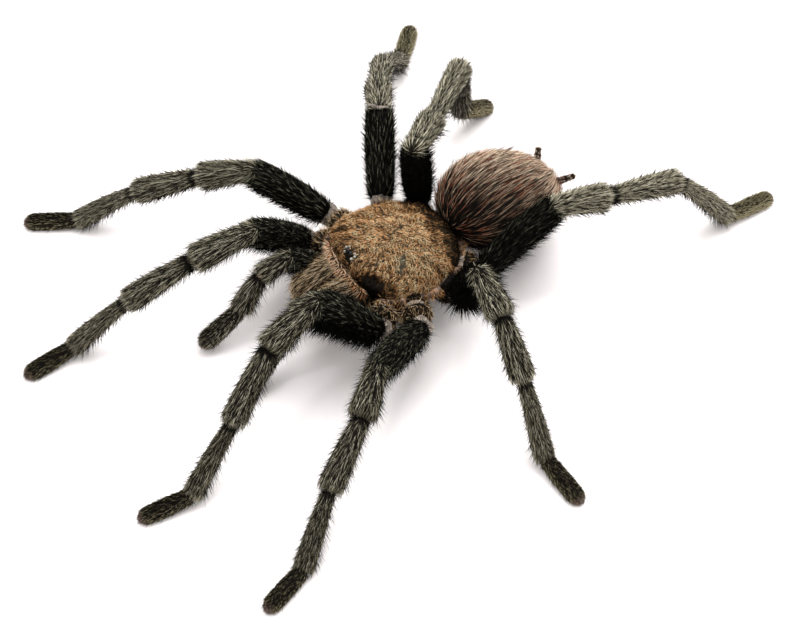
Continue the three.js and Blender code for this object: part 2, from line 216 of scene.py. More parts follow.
BAND_LAYERS = (
    Layer(16, 0.5, 0.9, 0.14, 10, 28, 0.5, 0.0, 0.7, 10),
    Layer(9, 0.9, 1.6, 0.15, 10, 32, 0.4, 0.3, 1.0, 14),
)
FOLD_LAYER = Layer(10, 0.7, 1.5, 0.13, 10, 50, 0.5, 0.0, 0.95, 45)
ABDOMEN_LAYERS = (
    Layer(14, 0.9, 1.6, 0.12, 8, 20, 0.6, 0.0, 0.45, 5),
    Layer(5.2, 2.1, 3.5, 0.1, 4, 14, 0.8, 0.3, 1.0, 4, 2),
    Layer(2.0, 1.6, 2.8, 0.095, 22, 46, 0.5, 0.0, 0.7, 10, 2),
)
ABDOMEN_DEPTHS = (1.3, 0.75, 0.6)  # how strongly each of its layers takes its shading
JAW_LAYERS = (
    Layer(16, 0.8, 1.4, 0.13, 10, 26, 0.5, 0.0, 0.42, 9),
    Layer(6.5, 1.2, 2.2, 0.13, 6, 20, 0.5, 0.5, 1.0, 8),
    Layer(3, 1.3, 2.2, 0.1, 28, 54, 0.5, 0.0, 0.6, 14),
)
SPINNERET_LAYER = Layer(40, 0.3, 0.6, 0.09, 14, 34, 0.5, 0.0, 0.9, 12)
TUFT_LAYER = Layer(55, 0.35, 0.6, 0.09, 30, 70, 0.2, 0.0, 1.0, 25)

# ---- the camera, in the body frame, and the image it takes
CAMERA_PLACE = (227.3, -144.7, 311.3)
CAMERA_TARGET = (3.73, -3.21, 0.0)
FOCAL_LENGTH = 131.2
SENSOR_WIDTH = 36
LIGHTS = (  # place and size in metres, and share of the largest light's power
    ("softbox", (-0.15, 0.25, 0.75), 0.7, 1),
    ("front softbox", (0.7, -0.6, 0.6), 0.5, 0.25),
    ("lamp", (-0.1, -0.3, 0.8), 0.08, 0.12),
)


# ---- Small tools


def linear(code):
    """Turns an sRGB hex colour such as "#8a6a45" into linear red, green, blue and alpha."""
    shares = np.array([int(code[i : i + 2], 16) for i in (1, 3, 5)]) / 255
    values = np.where(shares <= 0.04045, shares / 12.92, ((shares + 0.055) / 1.055) ** 2.4)
    return (*values.tolist(), 1.0)


def unit(vectors):
    """Each vector divided by its length."""
    return vectors / np.maximum(np.linalg.norm(vectors, axis=-1, keepdims=True), 1e-12)


def smoothstep(values, low, high):
    """0 below low, 1 above high, and 3t² - 2t³ between, where t is the share of the way."""
    t = np.clip((values - low) / (high - low), 0, 1)
    return t * t * (3 - 2 * t)


def bump(x, y, middle, half_x, half_y, turn=0.0):
    """A smooth hill of height 1: e to the minus of the squared distance, in half sizes, from its middle."""
    c, s = math.cos(math.radians(turn)), math.sin(math.radians(turn))
    dx, dy = x - middle[0], y - middle[1]
    return np.exp(-(((c * dx + s * dy) / half_x) ** 2) - ((-s * dx + c * dy) / half_y) ** 2)


def body_origin():
    """Where the body's middle is in the frame's axes: between the fangs and behind their bases."""
    low_right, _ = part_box("fang_right")
    _, high_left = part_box("fang_left")
    return np.array([(low_right.x + high_left.x) / 2, low_right.y + FANG_REACH * MM, 0.0])


ORIGIN = body_origin()


def at(x, y, z):
    """A point of the body frame, in millimetres, as a point of the frame's axes, in metres."""
    return ORIGIN + np.array([x, y, z]) * MM


def in_body(points):
    """The x, y and z of points in the body frame, in millimetres: at() the other way round."""
    return np.moveaxis(points - ORIGIN, -1, 0) / MM


def combed(way):
    """A comb that lays every hair the same way."""
    return lambda points: np.broadcast_to(way, points.shape)


def add_object(name, data):
    """A new object in the scene, at the origin."""
    made = bpy.data.objects.new(name, data)
    bpy.context.scene.collection.objects.link(made)
    return made


# ---- Surfaces

Patch = namedtuple("Patch", "points corners sizes tone along finish")


def skin(rings, start, end, tone=0.5, finish=0):
    """A closed skin over a stack of rings: four-cornered faces between two rings, triangles to each pole."""
    rows, around = rings.shape[:2]
    here = np.arange(rows * around).reshape(rows, around)
    beside = np.roll(here, -1, axis=1)
    quads = np.stack([here[:-1], beside[:-1], beside[1:], here[1:]], axis=-1).reshape(-1)
    first = np.full(around, rows * around)
    head = np.stack([first, beside[0], here[0]], axis=-1).reshape(-1)
    tail = np.stack([first + 1, here[-1], beside[-1]], axis=-1).reshape(-1)
    points = np.concatenate([rings.reshape(-1, 3), [start], [end]])
    sizes = np.concatenate([np.full((rows - 1) * around, 4), np.full(2 * around, 3)])
    tones = np.broadcast_to(tone, len(points))
    corners = np.concatenate([quads, head, tail])
    return Patch(points, corners, sizes, tones, np.zeros(len(points)), finish)


def tube_rings(path, wide, high, up=UP, around=20):
    """A profile along a path: at each point of the path stands an oval, square to it. A ring's point is
    path + wide cos(turn) across + high sin(turn) back, where back is up made square to the path."""
    forward = unit(np.gradient(path, axis=0))
    across = unit(np.cross(up, forward))
    back = np.cross(forward, across)
    turn = 2 * np.pi * np.arange(around) / around
    wide = np.broadcast_to(wide, len(path))[:, None, None]
    high = np.broadcast_to(high, len(path))[:, None, None]
    sideways = wide * np.cos(turn)[None, :, None] * across[:, None]
    return path[:, None] + (sideways + high * np.sin(turn)[None, :, None] * back[:, None])


def ball_rings(middle, axes, radii, rows=14, around=20):
    """An ellipsoid: middle + cos(rise) (r1 cos(turn) a1 + r2 sin(turn) a2) + r3 sin(rise) a3."""
    rise = np.pi * (np.arange(rows) + 1) / (rows + 1) - np.pi / 2
    turn = 2 * np.pi * np.arange(around) / around
    a, b, c = (np.asarray(axis, float) * radius for axis, radius in zip(axes, radii))
    flat = np.cos(turn)[:, None] * a + np.sin(turn)[:, None] * b
    return middle + np.cos(rise)[:, None, None] * flat + np.sin(rise)[:, None, None] * c


def ball(middle, radius, finish=0, rows=10, around=16):
    """A round ball with its poles up and down."""
    rings = ball_rings(middle, np.eye(3), [radius] * 3, rows, around)
    return skin(rings, middle - UP * radius, middle + UP * radius, finish=finish)


def limb_rings(start, end, up, radii, caps, bow=0.0, rows=22, around=20):
    """A limb's tube: its radius runs through start, middle and end along a parabola, and each end is rounded
    over its cap's length as the quarter of an ellipse. The axis bows by 4 t (1 - t) times bow."""
    share = (1 - np.cos(np.pi * np.arange(1, rows + 1) / (rows + 1))) / 2
    length = np.linalg.norm(end - start)
    first, middle, last = radii
    width = first * (1 - share) * (1 - 2 * share) + middle * 4 * share * (1 - share)
    width = width + last * share * (2 * share - 1)
    for left, cap in ((share, caps[0]), (1 - share, caps[1])):
        width = width * np.sqrt(1 - np.clip(1 - left * length / cap, 0, 1) ** 2)
    path = start + share[:, None] * (end - start) + up * (bow * 4 * share * (1 - share))[:, None]
    return tube_rings(path, width, width, up, around)


def scatter(rings, per_mm2, dice, weight=None):
    """Spreads points evenly over a skin. A cell of the grid is drawn by its area times its weight, and the
    point's place in it is drawn too. Gives points, normals, the ways along the rows and both shares."""
    a, d = rings[:-1], rings[1:]
    b, c = np.roll(a, -1, axis=1), np.roll(d, -1, axis=1)
    square = np.cross(c - a, d - b) / 2
    share = np.linalg.norm(square, axis=2)
    rows, around = share.shape
    if weight is not None:
        turns, steps = (np.arange(around) + 0.5) / around, (np.arange(rows) + 0.5) / rows
        share = share * weight(turns[None], steps[:, None])
    total = share.sum()
    count = int(per_mm2 * total / MM**2)
    steps = (np.arange(count) + dice.random(count)) / max(count, 1) * total
    cell = np.minimum(np.searchsorted(np.cumsum(share), steps), share.size - 1)
    row, column = np.divmod(cell, around)
    x, y = dice.random((2, count, 1))
    near = (1 - x) * a[row, column] + x * b[row, column]
    far = (1 - x) * d[row, column] + x * c[row, column]
    ahead = unit(d[row, column] - a[row, column] + c[row, column] - b[row, column])
    points = (1 - y) * near + y * far
    return points, unit(square[row, column]), ahead, (column + x[:, 0]) / around, (row + y[:, 0]) / rows


def patchy(u, v, columns, rows, dice):
    """Random values from 0 to 1 that neighbours share: a table of columns by rows over the skin."""
    table = dice.random((rows, columns))
    row = np.clip(((v + dice.normal(0, 0.3 / rows, len(v))) * rows).astype(int), 0, rows - 1)
    column = ((u + dice.normal(0, 0.3 / columns, len(u))) * columns).astype(int) % columns
    return table[row, column]


def spikes(roots, normals, flow, length, width, lift, curl, tone, bends, finish):
    """Three-sided hairs. A hair leaves its root between flow and normal, lifted by an angle, and turns
    to the flow: its point at share s is root + length (s first + s²/2 (last - first)). Its tip is sharp."""
    count = len(roots)
    across = unit(np.cross(flow, normals))
    first = np.cos(lift) * flow + np.sin(lift) * normals
    last = np.cos(lift * (1 - curl)) * flow + np.sin(lift * (1 - curl)) * normals
    back = np.cross(across, first)
    share = np.arange(bends + 1)[None, :, None] / bends
    bowed = share * first[:, None] + share**2 / 2 * (last - first)[:, None]
    line = roots[:, None] + length[:, None] * bowed
    turn = np.pi / 2 + 2 * np.pi * np.arange(3) / 3
    round_it = np.cos(turn)[None, :, None] * across[:, None] + np.sin(turn)[None, :, None] * back[:, None]
    thick = width[:, None] * (1 - share[:, :-1] ** 1.5) / 2
    rings = line[:, :-1, None] + thick[..., None] * round_it[:, None]
    points = np.concatenate([rings.reshape(count, -1, 3), line[:, -1:]], axis=1)
    points[..., 2] = np.maximum(points[..., 2], GROUND)
    along = np.broadcast_to(np.append(np.repeat(np.arange(bends), 3), bends) / bends, points.shape[:2])
    faces = [(2, 1, 0)]
    for bend in range(bends - 1):
        low = 3 * bend
        faces += [(low + i, low + (i + 1) % 3, low + 3 + (i + 1) % 3, low + 3 + i) for i in range(3)]
    top = 3 * bends
    faces += [(top - 3 + i, top - 3 + (i + 1) % 3, top) for i in range(3)]
    pattern = np.array([corner for face in faces for corner in face])
    corners = (pattern[None] + np.arange(count)[:, None] * (top + 1)).reshape(-1)
    sizes = np.tile([len(face) for face in faces], count)
    tones = np.broadcast_to(tone[:, None], points.shape[:2])
    return Patch(points.reshape(-1, 3), corners, sizes, tones.reshape(-1), along.reshape(-1), finish)


def fur(
    rings, layer, dice, finish=1, weight=None, comb=None, shade=None, thin=None, clumps=(26, 7),
    clumping=CLUMPING,
):
    """One layer of fur on a skin. The hairs follow the rows, or comb(points). They and their tones keep
    together in clumps. shade(u, v, points) is added to the tone, less so in a dark layer, and thin(points)
    is the share of the hairs that drop out."""
    roots, normals, flow, u, v = scatter(rings, layer.per_mm2 * settings().density, dice, weight)
    if comb is not None:
        flow = comb(roots)
    flow = unit(flow - (flow * normals).sum(1, keepdims=True) * normals)
    clump = patchy(u, v, *clumps, dice)
    count = len(roots)
    drift = np.radians(layer.stray) * (clump - 0.5 + dice.normal(0, 0.8, count))[:, None]
    flow = np.cos(drift) * flow + np.sin(drift) * np.cross(normals, flow)
    length = dice.uniform(layer.shortest, layer.longest, (count, 1)) * MM * settings().hair_length
    width = dice.uniform(0.8, 1.15, (count, 1)) * layer.width * MM * settings().hair_width
    lift = np.radians(dice.uniform(layer.lift_low, layer.lift_high, (count, 1)))
    tone = layer.dark + (layer.light - layer.dark) * (clumping * clump + (1 - clumping) * dice.random(count))
    if shade is not None:
        tone = tone + shade(u, v, roots) * layer.light
    keep = np.ones(count, bool) if thin is None else dice.random(count) > thin(roots)
    roots = roots - normals * ROOT_DEPTH
    picked = (array[keep] for array in (roots, normals, flow, length, width, lift))
    return spikes(*picked, layer.curl, np.clip(tone, 0, 1)[keep], layer.bends, finish)


def piece(name, patches, finishes, nodes=()):
    """Joins patches into one mesh piece, which rides on the body and may stand for nodes of the frame."""
    starts = np.cumsum([0] + [len(p.points) for p in patches])
    points = np.concatenate([p.points for p in patches])
    corners = np.concatenate([p.corners + start for p, start in zip(patches, starts)])
    sizes = np.concatenate([p.sizes for p in patches])
    finish = np.concatenate([np.full(len(p.sizes), p.finish) for p in patches])
    mesh = bpy.data.meshes.new(name)
    mesh.vertices.add(len(points))
    mesh.vertices.foreach_set("co", points.astype(np.float32).ravel())
    mesh.loops.add(len(corners))
    mesh.loops.foreach_set("vertex_index", corners.astype(np.int32))
    mesh.polygons.add(len(sizes))
    mesh.polygons.foreach_set("loop_start", (np.cumsum(sizes) - sizes).astype(np.int32))
    mesh.polygons.foreach_set("material_index", finish.astype(np.int32))
    mesh.polygons.foreach_set("use_smooth", np.ones(len(sizes), bool))
    for field in ("tone", "along"):
        values = np.concatenate([getattr(p, field) for p in patches])
        mesh.attributes.new(field, "FLOAT", "POINT").data.foreach_set("value", values.astype(np.float32))
    mesh.update(calc_edges=True)
    for made in finishes:
        mesh.materials.append(made)
    obj = add_object(name, mesh)
    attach(obj, "root")
    if nodes:
        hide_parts(*nodes)


# ---- Materials


def add_node(tree, kind, links=None, stops=(), **settings_of):
    """Adds a node: its properties and unlinked inputs by name, and links as {input name: socket}. A colour
    ramp also takes its stops, pairs of a place and a colour."""
    node = tree.nodes.new(kind)
    for key, value in settings_of.items():
        if key in node.inputs:
            node.inputs[key].default_value = value
        else:
            setattr(node, key, value)
    for key, socket in (links or {}).items():
        tree.links.new(socket, node.inputs[key])
    for _ in stops[2:]:
        node.color_ramp.elements.new(0.5)
    for i, (place, colour) in enumerate(stops):
        node.color_ramp.elements[i].position = place
        node.color_ramp.elements[i].color = colour
    return node


def shaded(colour, factor, white=0.0):
    """A linear colour times a factor plus some white: the shades of one coat, from black to pale, where the
    added white is partly a painted highlight.
    """
    return (*(min(1.0, channel * factor + white) for channel in colour[:3]), 1.0)


def make_material(name, wire, **plain):
    """A material of one shader. wire(tree) adds the nodes that drive it and gives its linked inputs, and
    plain holds the inputs that are the same all over."""
    made = bpy.data.materials.new(name)
    made.use_nodes = True
    tree = made.node_tree
    tree.nodes.clear()
    shader = add_node(tree, "ShaderNodeBsdfPrincipled", wire(tree), **plain)
    add_node(tree, "ShaderNodeOutputMaterial", {"Surface": shader.outputs["BSDF"]})
    return made


def seta_material(name, stops, roughness, root, gloss=0.05):
    """Setae, the hairs of an arthropod: dry chitin threads, each in a colour off the ramp by its tone.
    Its root is darker, because the hairs around it and the skin under it shade it. The gloss is faint, so the
    streaks of the coat come from the tones: the pale ones are partly the hairs' own pale tips and partly
    painted highlights."""

    def wire(tree):
        tone = add_node(tree, "ShaderNodeAttribute", attribute_name="tone").outputs["Fac"]
        along = add_node(tree, "ShaderNodeAttribute", attribute_name="along").outputs["Fac"]
        colour = add_node(tree, RAMP, {"Fac": tone}, stops).outputs["Color"]
        shade = [(0.0, (root, root, root, 1)), (0.5, WHITE)]
        light = add_node(tree, RAMP, {"Fac": along}, shade).outputs["Color"]
        hair = add_node(tree, "ShaderNodeVectorMath", {0: colour, 1: light}, operation="MULTIPLY")
        return {"Base Color": hair.outputs["Vector"]}

    return make_material(name, wire, **{"Roughness": roughness, "Specular IOR Level": gloss})


def chitin_material(name, dark, light, grain_mm, height):
    """Sclerotised chitin, the hard plate under the fur: dull, dark and finely pitted where hairs are rooted.
    A low tone blackens it and a high one leaves it bare and pale."""

    def wire(tree):
        place = add_node(tree, "ShaderNodeTexCoord").outputs["Object"]
        grain = {"Scale": 1 / (grain_mm * MM), "Detail": 3.0}
        noise = add_node(tree, "ShaderNodeTexNoise", {"Vector": place}, **grain)
        pits = add_node(tree, "ShaderNodeTexVoronoi", {"Vector": place}, Scale=2.5 / (grain_mm * MM))
        tone = add_node(tree, "ShaderNodeAttribute", attribute_name="tone").outputs["Fac"]
        blotches = [(0.3, linear(dark)), (0.75, linear(light))]
        plain = add_node(tree, RAMP, {"Fac": noise.outputs["Fac"]}, blotches).outputs["Color"]
        shades = [(0.0, linear("#2a2422")), (0.5, linear("#a8a49e")), (1.0, WHITE)]
        black = add_node(tree, RAMP, {"Fac": tone}, shades).outputs["Color"]
        plate = add_node(tree, "ShaderNodeVectorMath", {0: plain, 1: black}, operation="MULTIPLY")
        deep = {"Strength": 0.5, "Distance": height * MM}
        relief = add_node(tree, "ShaderNodeBump", {"Height": pits.outputs["Distance"]}, **deep)
        return {"Base Color": plate.outputs["Vector"], "Normal": relief.outputs["Normal"]}

    return make_material(name, wire, **{"Roughness": 0.6, "Specular IOR Level": 0.08})


def membrane_material(name, colour, shades, wrinkle_mm):
    """Dried arthrodial membrane, the soft skin of the joints: pale, waxy and shrunk into fine wrinkles."""
    stops = [(tone, shaded(colour, dimmed)) for tone, dimmed in shades]

    def wire(tree):
        place = add_node(tree, "ShaderNodeTexCoord").outputs["Object"]
        broad, fine = 0.35 / (wrinkle_mm * MM), 1 / (wrinkle_mm * MM)
        blotches = add_node(tree, "ShaderNodeTexNoise", {"Vector": place}, Scale=broad, Detail=3.0)
        rough = {"Scale": fine, "Detail": 4.0, "Distortion": 1.5}
        wrinkles = add_node(tree, "ShaderNodeTexNoise", {"Vector": place}, **rough)
        tint = add_node(tree, RAMP, {"Fac": blotches.outputs["Fac"]}, stops)
        deep = {"Strength": 0.7, "Distance": 0.3 * wrinkle_mm * MM}
        relief = add_node(tree, "ShaderNodeBump", {"Height": wrinkles.outputs["Fac"]}, **deep)
        return {"Base Color": tint.outputs["Color"], "Normal": relief.outputs["Normal"]}

    return make_material(name, wire, Roughness=0.5)


def horn_material(name, dark, light, roughness, coat, gloss=0.5):
    """Polished chitin, as on fangs, claws and eyes: a hard gloss over one slowly varying colour."""

    def wire(tree):
        place = add_node(tree, "ShaderNodeTexCoord").outputs["Object"]
        noise = add_node(tree, "ShaderNodeTexNoise", {"Vector": place}, Scale=1 / (1.5 * MM), Detail=2.0)
        tint = add_node(tree, RAMP, {"Fac": noise.outputs["Fac"]}, [(0.35, dark), (0.8, light)])
        return {"Base Color": tint.outputs["Color"]}

    plain = {"Roughness": roughness, "Specular IOR Level": gloss}
    return make_material(name, wire, **plain, **{"Coat Weight": coat, "Coat Roughness": 0.08})


def paper_material(own):
    """Matt white paper, as a studio table is covered with."""
    plain = {"Base Color": (*own.paper_colour, 1.0), "Roughness": 0.9}
    return make_material("White paper", lambda tree: {}, **plain)


def coat_material(own, coat):
    """A coat of setae in one colour, from its row in the table of coats."""
    colour = getattr(own, coat.setting)
    stops = [(tone, shaded(colour, times, white)) for tone, times, white in coat.shades]
    return seta_material(coat.material, stops, coat.roughness, coat.root, coat.gloss)


def abdomen_material(own):
    """The abdomen's setae: black to rust to a pale tan, whose added white is partly a painted highlight."""
    tan, rust = own.abdomen_colour, own.rust_colour
    stops = [
        (0.0, shaded(tan, 0.012)),
        (0.36, shaded(tan, 0.06)),
        (0.44, shaded(tan, 0.4)),
        (0.48, shaded(rust, 1.1)),
        (0.53, shaded(tan, 0.7)),
        (0.62, shaded(tan, 1.3)),
        (0.66, shaded(rust, 2.0)),
        (0.7, shaded(tan, 1.9, 0.02)),
        (1.0, shaded(tan, 3.0, 0.2)),
    ]
    return seta_material("Abdomen seta", stops, 0.48, 0.12)


# Of each coat: its material's name, the setting of its colour, its roughness, how light its roots are, its
# gloss, and its shades as triples of a tone, a factor and some white. The white and the palest shades are
# partly painted highlights.
Coat = namedtuple("Coat", "material setting roughness root gloss shades")
COATS = {
    "leg": Coat(
        "Leg seta", "leg_colour", 0.5, 0.2, 0.05,
        ((0.0, 0.02, 0), (0.35, 0.1, 0), (0.55, 1.2, 0.01), (0.75, 2.6, 0.06), (1.0, 3.6, 0.28)),
    ),
    "femur": Coat(
        "Femur seta", "femur_colour", 0.6, 0.2, 0.03,
        ((0.0, 0.1, 0), (0.45, 0.8, 0), (0.6, 10, 0), (0.8, 45, 0), (1.0, 130, 0.015)),
    ),
    "foot": Coat(
        "Scopula seta", "foot_colour", 0.6, 0.25, 0.03,
        ((0.0, 0.1, 0), (0.38, 1.5, 0), (0.55, 12, 0), (0.75, 32, 0.01), (1.0, 60, 0.06)),
    ),
    "tuft": Coat(
        "Claw tuft seta", "tuft_colour", 0.5, 0.3, 0.05,
        ((0.0, 0.3, 0), (0.5, 1.2, 0), (1.0, 2.2, 0.02)),
    ),
    "carapace": Coat(
        "Carapace seta", "carapace_colour", 0.5, 0.15, 0.05,
        ((0.0, 0.01, 0), (0.33, 0.1, 0), (0.45, 0.9, 0), (0.7, 2.1, 0.05), (1.0, 2.5, 0.32)),
    ),
    "band": Coat(
        "Clypeus seta", "band_colour", 0.5, 0.15, 0.05,
        ((0.0, 0.03, 0), (0.3, 0.35, 0), (0.5, 1.0, 0), (0.75, 1.5, 0.12), (1.0, 1.8, 0.4)),
    ),
    "jaw": Coat(
        "Jaw seta", "jaw_colour", 0.5, 0.15, 0.05,
        ((0.0, 0.02, 0), (0.35, 0.1, 0), (0.5, 1.0, 0), (0.75, 2.3, 0.06), (1.0, 2.8, 0.28)),
    ),
}
RECIPES = {
    "chitin": lambda own: chitin_material("Sclerotised chitin", "#0c0907", "#1e1712", 0.5, 0.05),
    "chitin_brown": lambda own: chitin_material(
        "Sclerotised chitin, brown", "#2c2820", "#57513f", 0.9, 0.06
    ),
    "membrane": lambda own: membrane_material(
        "Dried arthrodial membrane", own.membrane_colour, ((0.35, 0.2), (0.5, 0.8), (0.68, 1.3)), 0.5
    ),
    "pleura": lambda own: membrane_material(
        "Dried pleural membrane", own.pleura_colour, ((0.35, 0.05), (0.48, 0.5), (0.65, 1.7)), 0.45
    ),
    "horn": lambda own: horn_material(
        "Polished fang chitin", shaded(own.horn_colour, 0.3), shaded(own.horn_colour, 2.0), 0.2, 0.5
    ),
    "eye": lambda own: horn_material("Ocular lens", linear("#020202"), linear("#040405"), 0.16, 0.0, 0.25),
    # Pearly lens, its pale colour partly a painted glint.
    "pale eye with glint": lambda own: horn_material(
        "Clouded ocular lens", linear("#7d7a72"), linear("#b9b6ad"), 0.12, 0.0
    ),
    "abdomen": abdomen_material,
    "paper": paper_material,
}
_made = {}


def finishes(*names):
    """The named materials, each made once."""
    for name in names:
        if name not in _made:
            own = settings()
            _made[name] = coat_material(own, COATS[name]) if name in COATS else RECIPES[name](own)
    return [_made[name] for name in names]


# ---- Settings


def size(name, description, default):
    """A length property, in metres."""
    more = {"unit": "LENGTH", "precision": 5}
    return FloatProperty(name=name, description=description, default=default, **more)


def factor(name, description, high):
    """A property that multiplies something, 1 unless changed."""
    return FloatProperty(name=name, description=description, default=1.0, min=0.05, max=high)


def colour(name, description, code):
    """A colour property, given by its hex code."""
    default = linear(code)[:3]
    options = {"subtype": "COLOR", "size": 3, "min": 0.0, "max": 1.0}
    return FloatVectorProperty(name=name, description=description, default=default, **options)


class TARANTULA_PG_settings(bpy.types.PropertyGroup):
    """What a user may change: the fur, the sizes of the body, the colours, the paper and the light."""

    density: factor("Fur density", "Share of the full number of hairs", 1.2)
    hair_length: factor("Hair length", "Factor on every hair's length", 1.5)
    hair_width: factor("Hair width", "Factor on every hair's width", 2.0)
    seed: IntProperty(name="Seed", description="Start of the random numbers", default=11, min=0)
    carapace_half_width: size("Carapace half width", "Middle to rim, across", 8.4 * MM)
    carapace_half_length: size("Carapace half length", "Middle to rim, along", 8.7 * MM)
    crown: size("Crown", "Height of the carapace above its rim", 4.9 * MM)
    abdomen_half_width: size("Abdomen half width", "Middle to flank", 7.8 * MM)
    abdomen_half_length: size("Abdomen half length", "Middle to rear", 9.2 * MM)
    abdomen_half_height: size("Abdomen half height", "Middle to back", 6.1 * MM)
    eye_radius: size("Eye radius", "Of the largest eyes", 0.4 * MM)
    claw_length: size("Claw length", "Along a claw's curve", 0.9 * MM)
    carapace_colour: colour("Carapace", "Hair on the carapace", "#ac7c4c")
    band_colour: colour("Clypeus", "Hair on the band under the eyes", "#bb7a46")
    abdomen_colour: colour("Abdomen", "Pale hair on the abdomen", "#947e69")
    rust_colour: colour("Abdomen, rust", "Rust red hair on the abdomen", "#84432c")
    jaw_colour: colour("Jaws", "Hair on the jaws and leg bases", "#8f7553")
    leg_colour: colour("Legs", "Hair beyond the femora", "#6b6653")
    femur_colour: colour("Femora", "Velvet on the femora", "#0a0a07")
    foot_colour: colour("Feet", "Velvet on the feet", "#15130c")
    tuft_colour: colour("Claw tufts", "Hair around the claws", "#75625a")
    membrane_colour: colour("Joint skin", "Dried skin at the hips", "#988c80")
    pleura_colour: colour("Rim skin", "Folded skin under the carapace's rim", "#7a6251")
    horn_colour: colour("Fangs", "Horn of fangs and claws", "#140b07")
    paper_colour: colour("Paper", "The ground", "#fbf7f7")
    floor_size: size("Floor size", "Side of the paper", 3.0)
    light_power: FloatProperty(
        name="Softbox power", description="Of the largest light", default=7.0, unit="POWER"
    )


def settings():
    """The settings of the current scene."""
    return bpy.context.scene.tarantula


def dice_for(number):
    """Random numbers of their own for each piece, so that one piece never changes another."""
    return np.random.default_rng([settings().seed, number])


# ---- The carapace


def carapace_relief(x, y):
    """How far the dome sinks (plus) at a place, in mm: valleys along lines from the fovea to the leg gaps, a
    pit at the fovea, the eye hill (minus), small folds towards the head's left, and waves."""
    dx, dy = x - FOVEA[0], y - FOVEA[1]
    depth = 0.3 * bump(x, y, FOVEA, 1.4, 0.7) - 0.75 * bump(x, y, EYE_HILL, 1.5, 0.9)
    for end in GROOVE_ENDS:
        way = np.array(end) - FOVEA
        length = np.hypot(*way)
        way = way / length
        along = dx * way[0] + dy * way[1]
        aside = dx * way[1] - dy * way[0]
        fade = smoothstep(along, 0.6, 2.5) * (1 - smoothstep(along, 0.75 * length, length))
        depth = depth + 0.14 * fade * np.exp(-((aside / 0.5) ** 2))
    away = np.hypot(dx, dy)
    angle = np.arctan2(dy, dx)
    ring = smoothstep(away, 2.5, 4.0) * (1 - smoothstep(away, 7.0, 8.5))
    folded = ring * bump(x, y, (4.6, -5.6), 3.2, 2.2, 30)
    depth = depth + 0.3 * folded * np.sin(44 * angle + 1.5 * np.sin(5 * angle))
    waves = np.sin(1.3 * x + 0.6 * y) * np.sin(1.1 * y - 0.4 * x) + 0.6 * np.sin(2.3 * x - 1.7 * y + 1.0)
    return depth + 0.12 * waves


def carapace_rings():
    """A ball pressed into the carapace: its outline goes from an ellipse behind to a rounded box in front,
    its top rises by a power of the ball's height, steeper in front, and its underside is nearly flat. The
    relief and the dent beside the head are taken off the top."""
    own = settings()
    rise = np.concatenate([np.linspace(-82, -12, UNDER_ROWS), np.linspace(-4, 89, 46)])
    rise = np.radians(rise)[:, None]
    turn = (2 * np.pi * np.arange(120) / 120)[None]
    x, y = np.cos(rise) * np.cos(turn), np.cos(rise) * np.sin(turn)
    z = np.broadcast_to(np.sin(rise), x.shape)
    front = smoothstep(-y, -0.2, 0.9)
    power = 2 + front
    spread = np.hypot(x, y) / (np.abs(x) ** power + np.abs(y) ** power) ** (1 / power)
    slope = (1 - 0.2 * np.maximum(0, y)) * (1 - 0.1 * front)
    top = own.crown / MM * slope * np.abs(z) ** (0.9 - 0.35 * front)
    under = -UNDERSIDE_DEPTH * np.abs(z) ** 0.6
    x = x * spread * own.carapace_half_width / MM
    y = y * spread * own.carapace_half_length / MM
    height = RIM_HEIGHT + FRONT_RIM_RISE * front + np.where(z > 0, top, under)
    height = height - smoothstep(z, 0.0, 0.3) * carapace_relief(x, y)
    dent = smoothstep(z, 0.02, 0.3) * bump(x, y, HOLLOW, 2.2, 1.5, 30)
    height = height - 0.8 * dent
    return ORIGIN + np.stack([x * (1 - 0.14 * dent), y * (1 - 0.14 * dent), height], axis=-1) * MM


def carapace_comb(points):
    """The carapace's hairs point away from the fovea, those in front also forwards, turned by slow waves."""
    x, y, _ = in_body(points)
    outward = unit(np.stack([x - FOVEA[0], y - FOVEA[1]], axis=1))
    sweep = 1 - smoothstep(y, -1.0, 5.0)
    swirl = 0.6 * np.sin(0.9 * x + 1.3) * np.sin(0.8 * y + 0.4) + 0.5 * np.sin(1.7 * x - 1.3 * y)
    angle = np.arctan2(0.6 * outward[:, 1] - 0.7 * sweep, 0.6 * outward[:, 0] + 0.15 * sweep) + swirl
    return np.stack([np.cos(angle), np.sin(angle), np.full(len(x), -0.3)], axis=1)


def carapace_bare(points):
    """Share of the hairs that are missing: a hill of bareness at each rubbed spot and on the eye hill."""
    x, y, _ = in_body(points)
    bare = 1.3 * bump(x, y, EYE_HILL, 1.5, 0.7)
    for spot_x, spot_y, wide, long, turn, rubbed in BARE_SPOTS:
        bare = bare + rubbed * bump(x, y, (spot_x, spot_y), wide, long, turn)
    return np.clip(bare, 0, 1)


